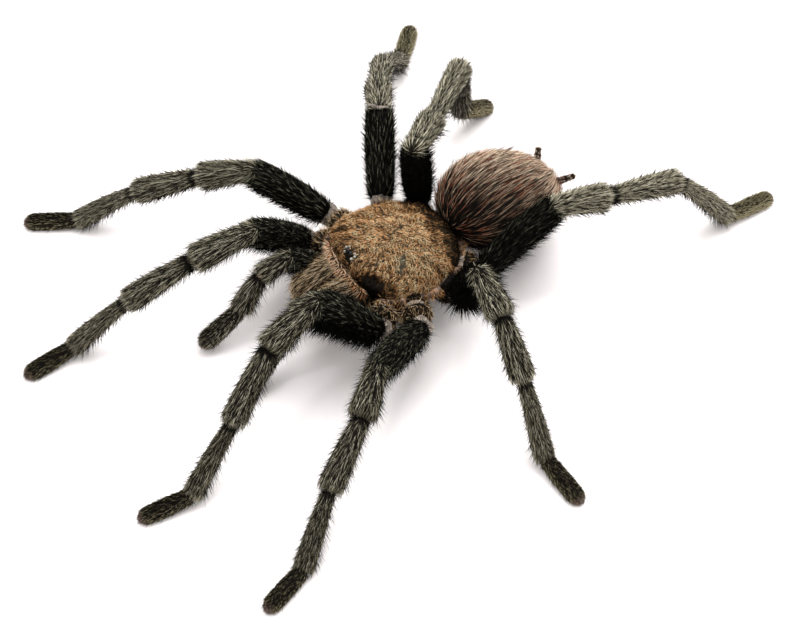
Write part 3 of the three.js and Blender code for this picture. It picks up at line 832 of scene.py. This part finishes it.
def carapace_shade(u, v, points):
    """Tone by place: three crossing waves and the shaded areas; painted shade in the grooves, pit and folds,
    where the hair darkens as the dome sinks; and darker at the back, in the hollow, around the eyes, on the
    steep face under them and below the rim."""
    x, y, z = in_body(points)
    waves = 0.14 * np.sin(1.9 * x + 1.1 * y) * np.sin(1.4 * y - 0.9 * x)
    waves = waves + 0.12 * np.sin(3.4 * y - 2.3 * x + 2)
    waves = waves + 0.16 * np.sin(5.1 * x + 2.2 * y) * np.sin(4.3 * y - 1.7 * x + 1)
    for spot_x, spot_y, wide, long, added in CARAPACE_TONES:
        waves = waves + added * bump(x, y, (spot_x, spot_y), wide, long)
    # Painted shade: darker by how far the dome sinks, in its grooves, pit and folds; the last term darkens
    # the back.
    groove_shade_and_back_tone = 0.6 * carapace_relief(x, y) + 0.75 * smoothstep(y, 2.4, 7.0)
    hollow = 1.6 * bump(x, y, HOLLOW_FLOOR, 1.9, 1.1, 25)
    brow = 0.5 * bump(x, y, EYE_HILL, 2.4, 1.5)
    face = (0.1 + 0.5 * smoothstep(x, 2.0, 4.0)) * (y < FACE_EDGE) * (z < FACE_TOP)
    return 0.2 + waves - groove_shade_and_back_tone - hollow - brow - 0.4 * (z < RIM_SHADOW) - face


def carapace_weight(u, v):
    """Share of the hairs: a quarter under the plate, a tenth at its rim and all above."""
    return np.where(v < 0.12, 0.25, np.where(v < 0.2, 0.1, 1.0)) * np.ones_like(u)


def band_shade(u, v, points):
    """The band under the eyes is palest at the animal's right end."""
    return 0.58 - 0.45 * smoothstep(v, 0.25, 1.0)


def make_carapace():
    """The hard plate over head and chest with its fur, and the tan band under the eyes, a tube along a bowed
    line."""
    dice = dice_for(1)
    rings = carapace_rings()
    low, high = at(0, 0, RIM_HEIGHT - UNDERSIDE_DEPTH), rings[-1].mean(0) + UP * 0.01 * MM
    x, y, _ = in_body(rings)
    dark = 0.5 - 0.5 * bump(x, y, HOLLOW_FLOOR, 2.4, 1.8, 30) - 0.5 * bump(x, y, EYE_HILL, 1.3, 1.0)
    rub_x, rub_y, wide, long, turn, _ = BARE_SPOTS[0]
    dark = dark + 0.5 * bump(x, y, (rub_x, rub_y), 1.2 * wide, 1.1 * long, turn)
    patches = [skin(rings, low, high, np.append(dark.ravel(), (0.5, 0.5)))]
    for layer in CARAPACE_LAYERS:
        how = (carapace_weight, carapace_comb, carapace_shade, carapace_bare, (70, 22), 0.25)
        patches.append(fur(rings, layer, dice, 1, *how))
    piece("carapace", patches, finishes("chitin_brown", "carapace"), ["cephalothorax"])

    share = np.linspace(0, 1, 30)[:, None]
    start, end = at(*BAND_ENDS[0]), at(*BAND_ENDS[1])
    path = start + share * (end - start) + np.array(BAND_BULGE) * MM * 4 * share * (1 - share)
    rounding = np.sqrt(1 - (2 * share[:, 0] - 1) ** 6)
    band = tube_rings(path, 0.75 * MM * rounding, 0.8 * MM * rounding, around=14)
    patches = [skin(band, path[0], path[-1])]
    down = combed([0.05, -0.6, -0.9])
    for layer in BAND_LAYERS:
        patches.append(fur(band, layer, dice, comb=down, shade=band_shade, clumps=(3, 70), clumping=0.6))
    piece("clypeus_band", patches, finishes("chitin_brown", "band"))


def make_pleura():
    """A roll of folded skin along the rim, from one corner of the head round the back to the other. Its
    radius swells and shrinks in random folds."""
    own, dice = settings(), dice_for(2)
    turn = np.linspace(np.radians(-50), np.radians(230), 300)
    half = np.array([own.carapace_half_width, own.carapace_half_length])
    front = smoothstep(-np.sin(turn), 0.2, 0.9)
    power = 2 + front
    corner = (np.abs(np.cos(turn)) ** power + np.abs(np.sin(turn)) ** power) ** (1 / power)
    flat = np.stack([np.cos(turn), np.sin(turn)], axis=1) / corner[:, None] * (half + 0.4 * MM)
    height = RIM_HEIGHT + FRONT_RIM_RISE * front - 0.55
    path = np.concatenate([ORIGIN[:2] + flat, height[:, None] * MM], axis=1)
    waves = ((23, 0.16), (41, 0.12), (67, 0.08))
    folds = sum(size * np.sin(many * turn + dice.uniform(0, 6.3)) for many, size in waves)
    rounding = np.sqrt(1 - np.linspace(-1, 1, 300) ** 20)
    thick = (0.5 + folds) * MM * rounding
    rings = tube_rings(path, thick, thick, around=12)
    patches = [skin(rings, path[0], path[-1])]
    outward = lambda points: unit((points - ORIGIN) * [1, 1, 0]) - 0.8 * UP
    patches.append(fur(rings, FOLD_LAYER, dice, 1, comb=outward, clumps=(6, 50)))
    piece("rim_folds", patches, finishes("pleura", "carapace"))


def make_eyes():
    """Eight eyes on their hill: two round dark ones in the middle and three small pearly ones each side,
    whose pale colour is partly a painted glint.
    """
    own = settings()
    crown = carapace_rings()[UNDER_ROWS:]
    patches = []
    for side in SIDES.values():
        for x, y, size, lens in EYES:
            spot = at(side * x, y, 0)
            nearest = np.argmin(np.hypot(crown[..., 0] - spot[0], crown[..., 1] - spot[1]))
            middle = np.array([spot[0], spot[1], crown.reshape(-1, 3)[nearest, 2] + 0.12 * MM])
            patches.append(ball(middle, own.eye_radius * size, finish=lens))
    piece("eyes", patches, finishes("eye", "pale eye with glint"))


# ---- Abdomen, waist, jaws, fangs and spinnerets


def abdomen_rings(rows=44, around=48):
    """The abdomen: an ellipsoid whose long axis hangs a little at the rear."""
    own = settings()
    half = np.array([own.abdomen_half_width, own.abdomen_half_length, own.abdomen_half_height])
    droop = math.radians(ABDOMEN_DROOP)
    back = np.array([0.0, math.cos(droop), -math.sin(droop)])
    top = np.array([0.0, math.sin(droop), math.cos(droop)])
    axes = (top, np.array([1.0, 0.0, 0.0]), back)
    return ball_rings(at(*ABDOMEN_MIDDLE), axes, (half[2], half[0], half[1]), rows, around), back * half[1]


def abdomen_shade(u, v, points):
    """Tone by place: dark at the front and pale at the rear; pale on the back and dark down the left flank,
    partly wear and partly painted light and shade; dark on the belly, painted shade.
    """
    x, y, z = ((points - at(*ABDOMEN_MIDDLE)) / MM).T
    # Partly wear and partly painted light and shade: paler on the back and right flank, darker low on the
    # left flank.
    worn_and_lit = smoothstep(0.65 * z - 0.64 * x + 0.41 * y, -4.5, 5.5)
    # Painted shade on the belly.
    belly_shade = 1 - smoothstep(z, -4.2, 1.3)
    return 0.42 * worn_and_lit + 0.38 * smoothstep(v, 0.1, 0.9) - 0.38 - 0.35 * belly_shade


def abdomen_comb(points):
    """The abdomen's hairs are swept backwards and a little upwards, and apart from its middle plane."""
    return (points - at(*ABDOMEN_MIDDLE)) * [14, 0, 0] + np.array([0.0, 1.0, 0.4])


def make_abdomen():
    """The abdomen with its three layers of hair, and the narrow waist that joins it to the carapace: a tube
    whose width waves along it."""
    dice = dice_for(3)
    rings, reach = abdomen_rings()
    middle = at(*ABDOMEN_MIDDLE)
    patches = [skin(rings, middle - reach, middle + reach)]
    for layer, depth in zip(ABDOMEN_LAYERS, ABDOMEN_DEPTHS):
        shade = lambda u, v, points: depth * abdomen_shade(u, v, points)
        patches.append(fur(rings, layer, dice, 1, None, abdomen_comb, shade, None, (110, 14), 0.1))
    piece("abdomen_coat", patches, finishes("chitin", "abdomen"), ["abdomen"])
    share = np.linspace(0, 1, 14)[:, None]
    start, end = at(*WAIST_ENDS[0]), at(*WAIST_ENDS[1])
    path = start + share * (end - start)
    waist = tube_rings(path, (1.2 + 0.2 * np.cos(9 * share[:, 0])) * MM, 1.1 * MM)
    piece("waist", [skin(waist, path[0], path[-1])], finishes("pleura"))


def jaw_shade(u, v, points):
    """A jaw is darker where it goes in under the clypeus: painted shade."""
    return 0.28 - 0.7 * (1 - smoothstep(v, 0.1, 0.3))


def make_jaws():
    """Two thick jaws side by side, each a tube that bulges in the middle, with a coat combed forwards."""
    for name, side in SIDES.items():
        dice = dice_for(4 + side)
        start = at(side * JAW_BASE[0], *JAW_BASE[1:])
        end = at(side * JAW_TIP[0], *JAW_TIP[1:]) + np.array([0, -1.6, -0.6]) * MM
        radii = np.array([1.9, 2.3, 1.9]) * MM
        rings = limb_rings(start, end, UP, radii, (0.8 * MM, 1.9 * MM), bow=0.5 * MM, rows=26, around=26)
        inner = rings[..., 0] * side < (ORIGIN[0] * side + JAW_GAP * MM)
        rings[..., 0] = np.where(inner, ORIGIN[0] + side * JAW_GAP * MM, rings[..., 0])
        patches = [skin(rings, start, end)]
        outside = lambda u, v: np.where(np.cos(2 * np.pi * u) * side < -0.75, 0.1, 1.0) * np.ones_like(v)
        for layer in JAW_LAYERS:
            patches.append(fur(rings, layer, dice, weight=outside, shade=jaw_shade, clumps=(18, 6)))
        used = finishes("chitin_brown", "jaw")
        piece(f"jaw_{name}", patches, used, [f"chelicera_{name}"])


def make_fangs():
    """Curved horns under the jaws: each is part of an ellipse's arc that fills its node's box, a tube that
    narrows to the point."""
    for name in SIDES:
        low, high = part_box(f"fang_{name}")
        share = np.linspace(0, 1, 26)
        reach, drop = high.y - low.y, high.z - low.z
        angle = FANG_SWEEP * share
        ahead = low.y + 0.1 * MM + (reach - 0.3 * MM) * np.sin(angle) / math.sin(FANG_SWEEP)
        fall = (drop - 0.8 * MM) * (1 - np.cos(angle)) / (1 - math.cos(FANG_SWEEP))
        path = np.stack([np.full(26, (low.x + high.x) / 2), ahead, high.z - 0.6 * MM - fall], axis=1)
        narrowing = np.maximum(1 - share, 0.02) ** 0.6
        radius = FANG_RADIUS * MM * narrowing * np.sqrt(np.clip(share * 8, 0.05, 1))
        rings = tube_rings(path, radius, radius, around=16)
        patches = [skin(rings, path[0], path[-1])]
        piece(f"fang_{name}_horn", patches, finishes("horn"), [f"fang_{name}"])


def make_spinnerets():
    """Two long spinnerets and two short ones: straight tubes with three swellings, banded dark and tan."""
    middle = at(*ABDOMEN_MIDDLE)
    for kind, thick in SPINNERETS.items():
        for name in SIDES:
            dice = dice_for(10 + len(kind) + SIDES[name])
            node = f"spinneret_{kind}_{name}"
            points = node_points(node)
            away = np.linalg.norm(points - middle, axis=1)
            near, end = points[np.argsort(away)[:8]].mean(0), points[np.argmax(away)]
            way = unit(end - near)
            start = near - way * 0.8 * MM
            share = np.linspace(0, 1, 40)
            width = thick * MM * (1 - 0.35 * share) * (1 - 0.16 * np.cos(6 * np.pi * share) ** 8)
            width = width * np.sqrt(1 - np.clip(share * 12 - 11, 0, 0.99) ** 2)
            path = start + share[:, None] * (end - start)
            across = unit(np.cross(way, [0.3, 0.2, 0.9]))
            rings = tube_rings(path, width, width, across, around=14)
            bands = lambda u, v, _: 0.45 * (np.cos(6 * np.pi * v) > 0.2) - 0.1
            patches = [skin(rings, path[0], path[-1]), fur(rings, SPINNERET_LAYER, dice, shade=bands)]
            piece(node + "_coat", patches, finishes("chitin", "abdomen"), [node])


# ---- Legs and palps


def node_points(name):
    """The corners of a frame node, each once."""
    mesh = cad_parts[name].data
    points = np.empty(len(mesh.vertices) * 3, np.float32)
    mesh.vertices.foreach_get("co", points)
    return np.unique(points.reshape(-1, 3).astype(float).round(6), axis=0)


def joint_between(first, second):
    """The middle of the gap between two nodes: the mean of the corners of each that are near the other."""
    a, b = node_points(first), node_points(second)
    near = np.linalg.norm(a[:, None] - b[None], axis=2) < JOINT_REACH
    return (a[near.any(1)].mean(0) + b[near.any(0)].mean(0)) / 2


def limb_joints(name, parts, end_radius, on_ground):
    """The hip, each joint and the middle of the rounded tip of a leg or palp."""
    nodes = ["cephalothorax"] + [f"{name}_{part}" for part in parts]
    joints = [joint_between(first, second) for first, second in zip(nodes, nodes[1:])]
    points, last = node_points(nodes[-1]), joints[-1]
    if on_ground:
        flat = points[:, :2] - last[:2]
        way = unit(flat.mean(0))
        reach = (flat @ way).max() - end_radius
        tip = np.array([*(last[:2] + way * reach), TIP_HEIGHT * MM])
    else:
        way = unit(points.mean(0) - last)
        tip = last + way * (((points - last) @ way).max() - end_radius)
    return joints + [tip]


def belly_weight(u, v):
    """1 under the limb, 0 on its back, following minus the sine of the turn."""
    return np.clip(-np.sin(2 * np.pi * u), 0, 1) ** 1.2 * np.ones_like(v)


def end_weight(u, v):
    """1 over the last part of the limb."""
    return np.where(v > 0.85, 1.0, 0.0) * np.ones_like(u)


def joint_shade(u, v, points):
    """A part is black at its start, where it comes out of its joint."""
    return -0.8 * (1 - smoothstep(v, 0.04, 0.17))


def striped_shade(u, v, points):
    """Two pale stripes along the back of a knee or shin, where its fur is worn thin, and the black joint."""
    first = np.exp(-(((u - 0.17) / 0.028) ** 2))
    second = np.exp(-(((u - 0.33) / 0.028) ** 2))
    stripes = 0.3 * (first + second) * smoothstep(v, 0.1, 0.25) * (1 - smoothstep(v, 0.75, 0.92))
    return stripes + joint_shade(u, v, points)


def foot_shade(u, v, points):
    """A foot's velvet: pale along both sides and at the toe, dark along its back, and black at the joint."""
    sides = 0.45 * np.cos(2 * np.pi * u) ** 4 - 0.12
    return sides + 0.35 * smoothstep(v, 0.84, 1.0) - 0.9 * (1 - smoothstep(v, 0.06, 0.16))


SHADES = {"patella": striped_shade, "tibia": striped_shade, "tarsus": foot_shade}


def tone_shifted(layer, tone_shift):
    """A layer with the tones of all its hairs moved by a tone shift."""
    dark, light = min(max(layer.dark + tone_shift, 0), 0.9), min(max(layer.light + tone_shift, 0.02), 1)
    return layer._replace(dark=dark, light=light)


def limb_part(name, part, start, end, up, radii, seed, tone_shift):
    """One tube of a limb with its coat: undercoat, pale streaks and guard hairs. A foot ends in claws and a
    tuft, any other part has a fringe under it and a brush at its end, and a knee has a round cap."""
    dice = dice_for(seed)
    radii = np.array(radii[part]) * MM
    foot = part == "tarsus"
    if foot:
        end = end + unit(end - start) * radii[2] * 0.9
    caps = (0.9 * radii[0], (1.1 if foot else 0.55) * radii[2])
    rings = limb_rings(start, end, up, radii, caps, LEG_BOW[part] * MM)
    rings[..., 2] = np.maximum(rings[..., 2], GROUND)
    patches = [skin(rings, start, end)]
    if part == "patella":
        cap_radius = 1.1 * radii[0]
        cap = ball_rings(start, np.eye(3), [cap_radius] * 3)
        patches.append(skin(cap, start - UP * cap_radius, start + UP * cap_radius))
        ahead = combed(end - start)
        patches += [fur(cap, tone_shifted(layer, tone_shift), dice, comb=ahead) for layer in LEG_LAYERS[part][:2]]
    coat = {"femur": "femur", "tarsus": "foot"}.get(part, "leg")
    if foot and name.startswith("palp"):
        coat = "leg"
    shade = SHADES.get(part, joint_shade)
    undercoat, streaks, guard = LEG_LAYERS[part]
    for layer in (tone_shifted(undercoat, tone_shift), tone_shifted(streaks, tone_shift), guard):
        patches.append(fur(rings, layer, dice, shade=shade))
    if not foot:
        fringe = FRINGE
        if part == "femur":
            fringe = SHAGGY_FRINGE if name in SHAGGY else FEMUR_FRINGE
        patches.append(fur(rings, fringe, dice, weight=belly_weight))
        patches.append(fur(rings, tone_shifted(TIP_BRUSH, tone_shift), dice, weight=end_weight))
    used = ["chitin", coat]
    if foot:
        used += ["tuft", "horn"]
        patches += claws_and_tuft(end, unit(end - start), up, dice)
    node = f"{name}_{part}"
    piece(node + "_coat", patches, finishes(*used), [node])


def claws_and_tuft(tip, way, up, dice):
    """Two hooked claws, each a narrowing arc, in a tuft of short hair under the toe."""
    length = settings().claw_length
    across = unit(np.cross(up, way))
    share = np.linspace(0, 1, 9)
    made = []
    for side in (-1, 1):
        bend = 1.3 * share
        path = tip - way * 0.35 * MM + across * side * 0.3 * MM + up * 0.35 * MM
        path = path + length * (np.sin(bend)[:, None] * way - (1 - np.cos(bend))[:, None] * up)
        path[:, 2] = np.maximum(path[:, 2], 0.15 * MM)
        radius = 0.13 * MM * np.maximum(1 - share, 0.05)
        made.append(skin(tube_rings(path, radius, radius, up, 8), path[0], path[-1], finish=3))
    axes = (across, up, np.cross(across, up))
    pad = ball_rings(tip - way * 0.75 * MM, axes, np.array([0.95, 0.8, 0.9]) * MM, 10, 14)
    pad[..., 2] = np.maximum(pad[..., 2], GROUND)
    front = lambda points: np.where((points - (tip - way * 0.75 * MM)) @ way > 0, 0.0, 1.0)
    made.append(fur(pad, TUFT_LAYER, dice, 2, comb=combed(way), thin=front))
    return made


def leg_base(name, hip, seed, radius, darker):
    """The coxa and trochanter of a leg: two short thick tubes with a crease between them. darker is added to
    the tones of their hair."""
    dice = dice_for(seed)
    flat = (hip - ORIGIN) * [BASE_START[0], BASE_START[1], 0]
    start = ORIGIN + flat + UP * BASE_START[2] * MM
    way = hip - start
    crease = start + 0.58 * way
    patches = []
    for first, last, radii, tone_shift in (
        (start, crease, (0.95, 1.05, 0.95), -0.35),
        (crease, hip - 0.18 * way, (0.9, 1.0, 0.85), 0.05),
    ):
        caps = (0.5 * MM, 0.6 * MM)
        rings = limb_rings(first, last, UP, np.array(radii) * radius, caps, rows=12, around=18)
        patches.append(skin(rings, first, last))
        for layer in BASE_LAYERS:
            patches.append(fur(rings, tone_shifted(layer, tone_shift + darker), dice))
    patches.append(ball(crease, radius * 0.9, finish=2))
    piece(f"{name}_base", patches, finishes("chitin", "jaw", "membrane"))


def collar(middle, way, radius, roll, dice):
    """A crescent of soft skin over a limb: a flat roll along a circle, thick on the limb's upper side and
    nearly nothing below, with random folds. The circle leans a little."""
    turn = np.linspace(0, 2 * np.pi, 73)
    across = unit(np.cross(way, UP))
    other = np.cross(across, way)
    circle = np.cos(turn)[:, None] * across + np.sin(turn)[:, None] * other
    folds = 1 + 0.35 * np.sin(3 * turn + dice.uniform(0, 6)) + 0.16 * np.sin(11 * turn + dice.uniform(0, 6))
    thick = roll * folds * (0.15 + 0.85 * smoothstep(np.sin(turn), -0.3, 0.8))
    lean = 0.25 * MM * np.sin(turn + dice.uniform(0, 6)) + 0.12 * MM * np.sin(4 * turn + dice.uniform(0, 6))
    path = middle + circle * radius + way * lean[:, None]
    return skin(tube_rings(path, 0.9 * thick, 2.0 * thick, way, 10), path[0], path[-1])


def make_limb(name, parts, radii, seed, on_ground, tone_shift):
    """A whole leg or palp: its tubes, a ball of soft skin inside each joint, two folds of it at the hip, and
    its base. Its last argument holds what is added to the tones of the femur, of the middle parts and of the
    foot: on the far legs painted flare, elsewhere their own tones."""
    joints = limb_joints(name, parts, radii["tarsus"][2] * MM, on_ground)
    membranes = []
    level = (joints[-1] - joints[1]) * [1, 1, 0]
    for i, part in enumerate(parts):
        start, end = joints[i], joints[i + 1]
        forward = level if part == "femur" else (end - start) * [1, 1, 0]
        across = unit(np.cross(UP, unit(forward)))
        along = unit(end - start)
        across = unit(across - (across @ along) * along)
        up = np.cross(along, across)
        paler = METATARSUS_TONE_SHIFT if part == "metatarsus" else 0
        added = tone_shift[{"femur": 0, "tarsus": 2}.get(part, 1)] + paler
        limb_part(name, part, start, end, up, radii, seed + i, added)
        filled = 0.95 if part == "femur" else 0.55
        membranes.append(ball(start, radii[part][0] * filled * MM, part != "femur"))
    dice = dice_for(seed + 8)
    way = unit(joints[1] - joints[0])
    thick = radii["femur"][0] * MM
    for place, share, low, high in HIP_FOLDS:
        roll = dice.uniform(low, high) * MM
        membranes.append(collar(joints[0] + way * place * MM, way, share * thick, roll, dice))
    if name == PALE_KNEE:
        around = 0.9 * radii["femur"][2] * MM
        membranes.append(collar(joints[1] + way * 0.2 * MM, way, around, 0.12 * MM, dice))
    piece(f"{name}_joint_skin", membranes, finishes("membrane", "pleura"))
    leg_base(name, joints[0], seed + 9, max(radii["femur"]) * 1.07 * MM, 1.5 * min(tone_shift[0], 0))


def make_legs():
    """The eight walking legs."""
    for i, (name, tone_shift) in enumerate(LEG_TONE_AND_FLARE.items()):
        make_limb(name, LEG_PARTS, LEG_RADII, 100 + 20 * i, True, tone_shift)


def make_palps():
    """The two palps beside the jaws."""
    for i, side in enumerate(SIDES):
        make_limb(f"palp_{side}", PALP_PARTS, PALP_RADII, 400 + 20 * i, False, PALP_TONE_SHIFT)


# ---- Underside


def make_underside():
    """The breastplate between the leg bases, and the small lip plate in front of it: two flat ellipsoids
    with hair on their lower halves."""
    dice = dice_for(6)
    lower = lambda u, v: np.where(v < 0.5, 1.0, 0.0) * np.ones_like(u)
    for name, (middle, half) in PLATES.items():
        centre, rise = at(*middle), UP * half[2] * MM
        rings = ball_rings(centre, np.eye(3), np.array(half) * MM, 14, 36)
        patches = [skin(rings, centre - rise, centre + rise)]
        patches.append(fur(rings, BASE_LAYERS[0], dice, weight=lower, comb=combed([0.0, 1.0, 0.0])))
        piece(name, patches, finishes("chitin", "femur"))


# ---- The stage


def make_stage():
    """White paper, a large softbox overhead, even light all round, and the camera."""
    own = settings()
    half = own.floor_size / 2
    mesh = bpy.data.meshes.new("paper")
    corners = [(x * half, y * half, 0) for x, y in ((-1, -1), (1, -1), (1, 1), (-1, 1))]
    mesh.from_pydata(corners, [], [(0, 1, 2, 3)])
    mesh.materials.append(finishes("paper")[0])
    paper = add_object("paper", mesh)

    for name, place, size, power in LIGHTS:
        light = bpy.data.lights.new(name, "AREA")
        light.size = size
        light.energy = own.light_power * power
        lamp = add_object(name, light)
        lamp.location = place
        lamp.rotation_euler = (-Vector(place)).to_track_quat("-Z", "Y").to_euler()

    world = bpy.data.worlds.new("studio")
    world.use_nodes = True
    sky = world.node_tree.nodes["Background"]
    sky.inputs["Color"].default_value = linear("#fffdfb")
    sky.inputs["Strength"].default_value = 1.0
    bpy.context.scene.world = world
    bpy.context.scene.view_settings.view_transform = "Standard"

    data = bpy.data.cameras.new("camera")
    data.sensor_fit = "HORIZONTAL"
    data.sensor_width = SENSOR_WIDTH
    data.lens = FOCAL_LENGTH
    camera = add_object("camera", data)
    camera.location = at(*CAMERA_PLACE)
    ahead = Vector(at(*CAMERA_TARGET) - at(*CAMERA_PLACE))
    camera.rotation_euler = ahead.to_track_quat("-Z", "Y").to_euler()
    bpy.context.scene.camera = camera


# ---- The add-on


class TARANTULA_OT_carapace(bpy.types.Operator):
    """Build the carapace, its tan band and the folded skin under its rim"""

    bl_idname = "tarantula.carapace"
    bl_label = "Carapace"

    def execute(self, context):
        make_carapace()
        make_pleura()
        return {"FINISHED"}


class TARANTULA_OT_eyes(bpy.types.Operator):
    """Build the eight eyes"""

    bl_idname = "tarantula.eyes"
    bl_label = "Eyes"

    def execute(self, context):
        make_eyes()
        return {"FINISHED"}


class TARANTULA_OT_underside(bpy.types.Operator):
    """Build the breastplate and the lip"""

    bl_idname = "tarantula.underside"
    bl_label = "Underside"

    def execute(self, context):
        make_underside()
        return {"FINISHED"}


class TARANTULA_OT_abdomen(bpy.types.Operator):
    """Build the abdomen and the waist"""

    bl_idname = "tarantula.abdomen"
    bl_label = "Abdomen"

    def execute(self, context):
        make_abdomen()
        return {"FINISHED"}


class TARANTULA_OT_jaws(bpy.types.Operator):
    """Build the jaws and the fangs"""

    bl_idname = "tarantula.jaws"
    bl_label = "Jaws and fangs"

    def execute(self, context):
        make_jaws()
        make_fangs()
        return {"FINISHED"}


class TARANTULA_OT_spinnerets(bpy.types.Operator):
    """Build the spinnerets"""

    bl_idname = "tarantula.spinnerets"
    bl_label = "Spinnerets"

    def execute(self, context):
        make_spinnerets()
        return {"FINISHED"}


class TARANTULA_OT_legs(bpy.types.Operator):
    """Build the eight legs"""

    bl_idname = "tarantula.legs"
    bl_label = "Legs"

    def execute(self, context):
        make_legs()
        return {"FINISHED"}


class TARANTULA_OT_palps(bpy.types.Operator):
    """Build the two palps"""

    bl_idname = "tarantula.palps"
    bl_label = "Palps"

    def execute(self, context):
        make_palps()
        return {"FINISHED"}


class TARANTULA_OT_stage(bpy.types.Operator):
    """Build the paper, the lights and the camera"""

    bl_idname = "tarantula.stage"
    bl_label = "Stage"

    def execute(self, context):
        make_stage()
        return {"FINISHED"}


OPERATORS = (
    TARANTULA_OT_stage,
    TARANTULA_OT_carapace,
    TARANTULA_OT_eyes,
    TARANTULA_OT_underside,
    TARANTULA_OT_abdomen,
    TARANTULA_OT_jaws,
    TARANTULA_OT_spinnerets,
    TARANTULA_OT_legs,
    TARANTULA_OT_palps,
)


class TARANTULA_PT_panel(bpy.types.Panel):
    """The settings and a button for each operator"""

    bl_idname = "TARANTULA_PT_panel"
    bl_label = "Tarantula"
    bl_space_type = "VIEW_3D"
    bl_region_type = "UI"
    bl_category = "Tarantula"

    def draw(self, context):
        for key in TARANTULA_PG_settings.__annotations__:
            self.layout.prop(context.scene.tarantula, key)
        for operator in OPERATORS:
            self.layout.operator(operator.bl_idname)


CLASSES = (TARANTULA_PG_settings, *OPERATORS, TARANTULA_PT_panel)


def register():
    for cls in CLASSES:
        bpy.utils.register_class(cls)
    bpy.types.Scene.tarantula = PointerProperty(type=TARANTULA_PG_settings)


def unregister():
    del bpy.types.Scene.tarantula
    for cls in reversed(CLASSES):
        bpy.utils.unregister_class(cls)


def main():
    """Registers the add-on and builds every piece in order."""
    register()
    for operator in OPERATORS:
        group, name = operator.bl_idname.split(".")
        getattr(getattr(bpy.ops, group), name)()


if __name__ == "__main__":
    main()
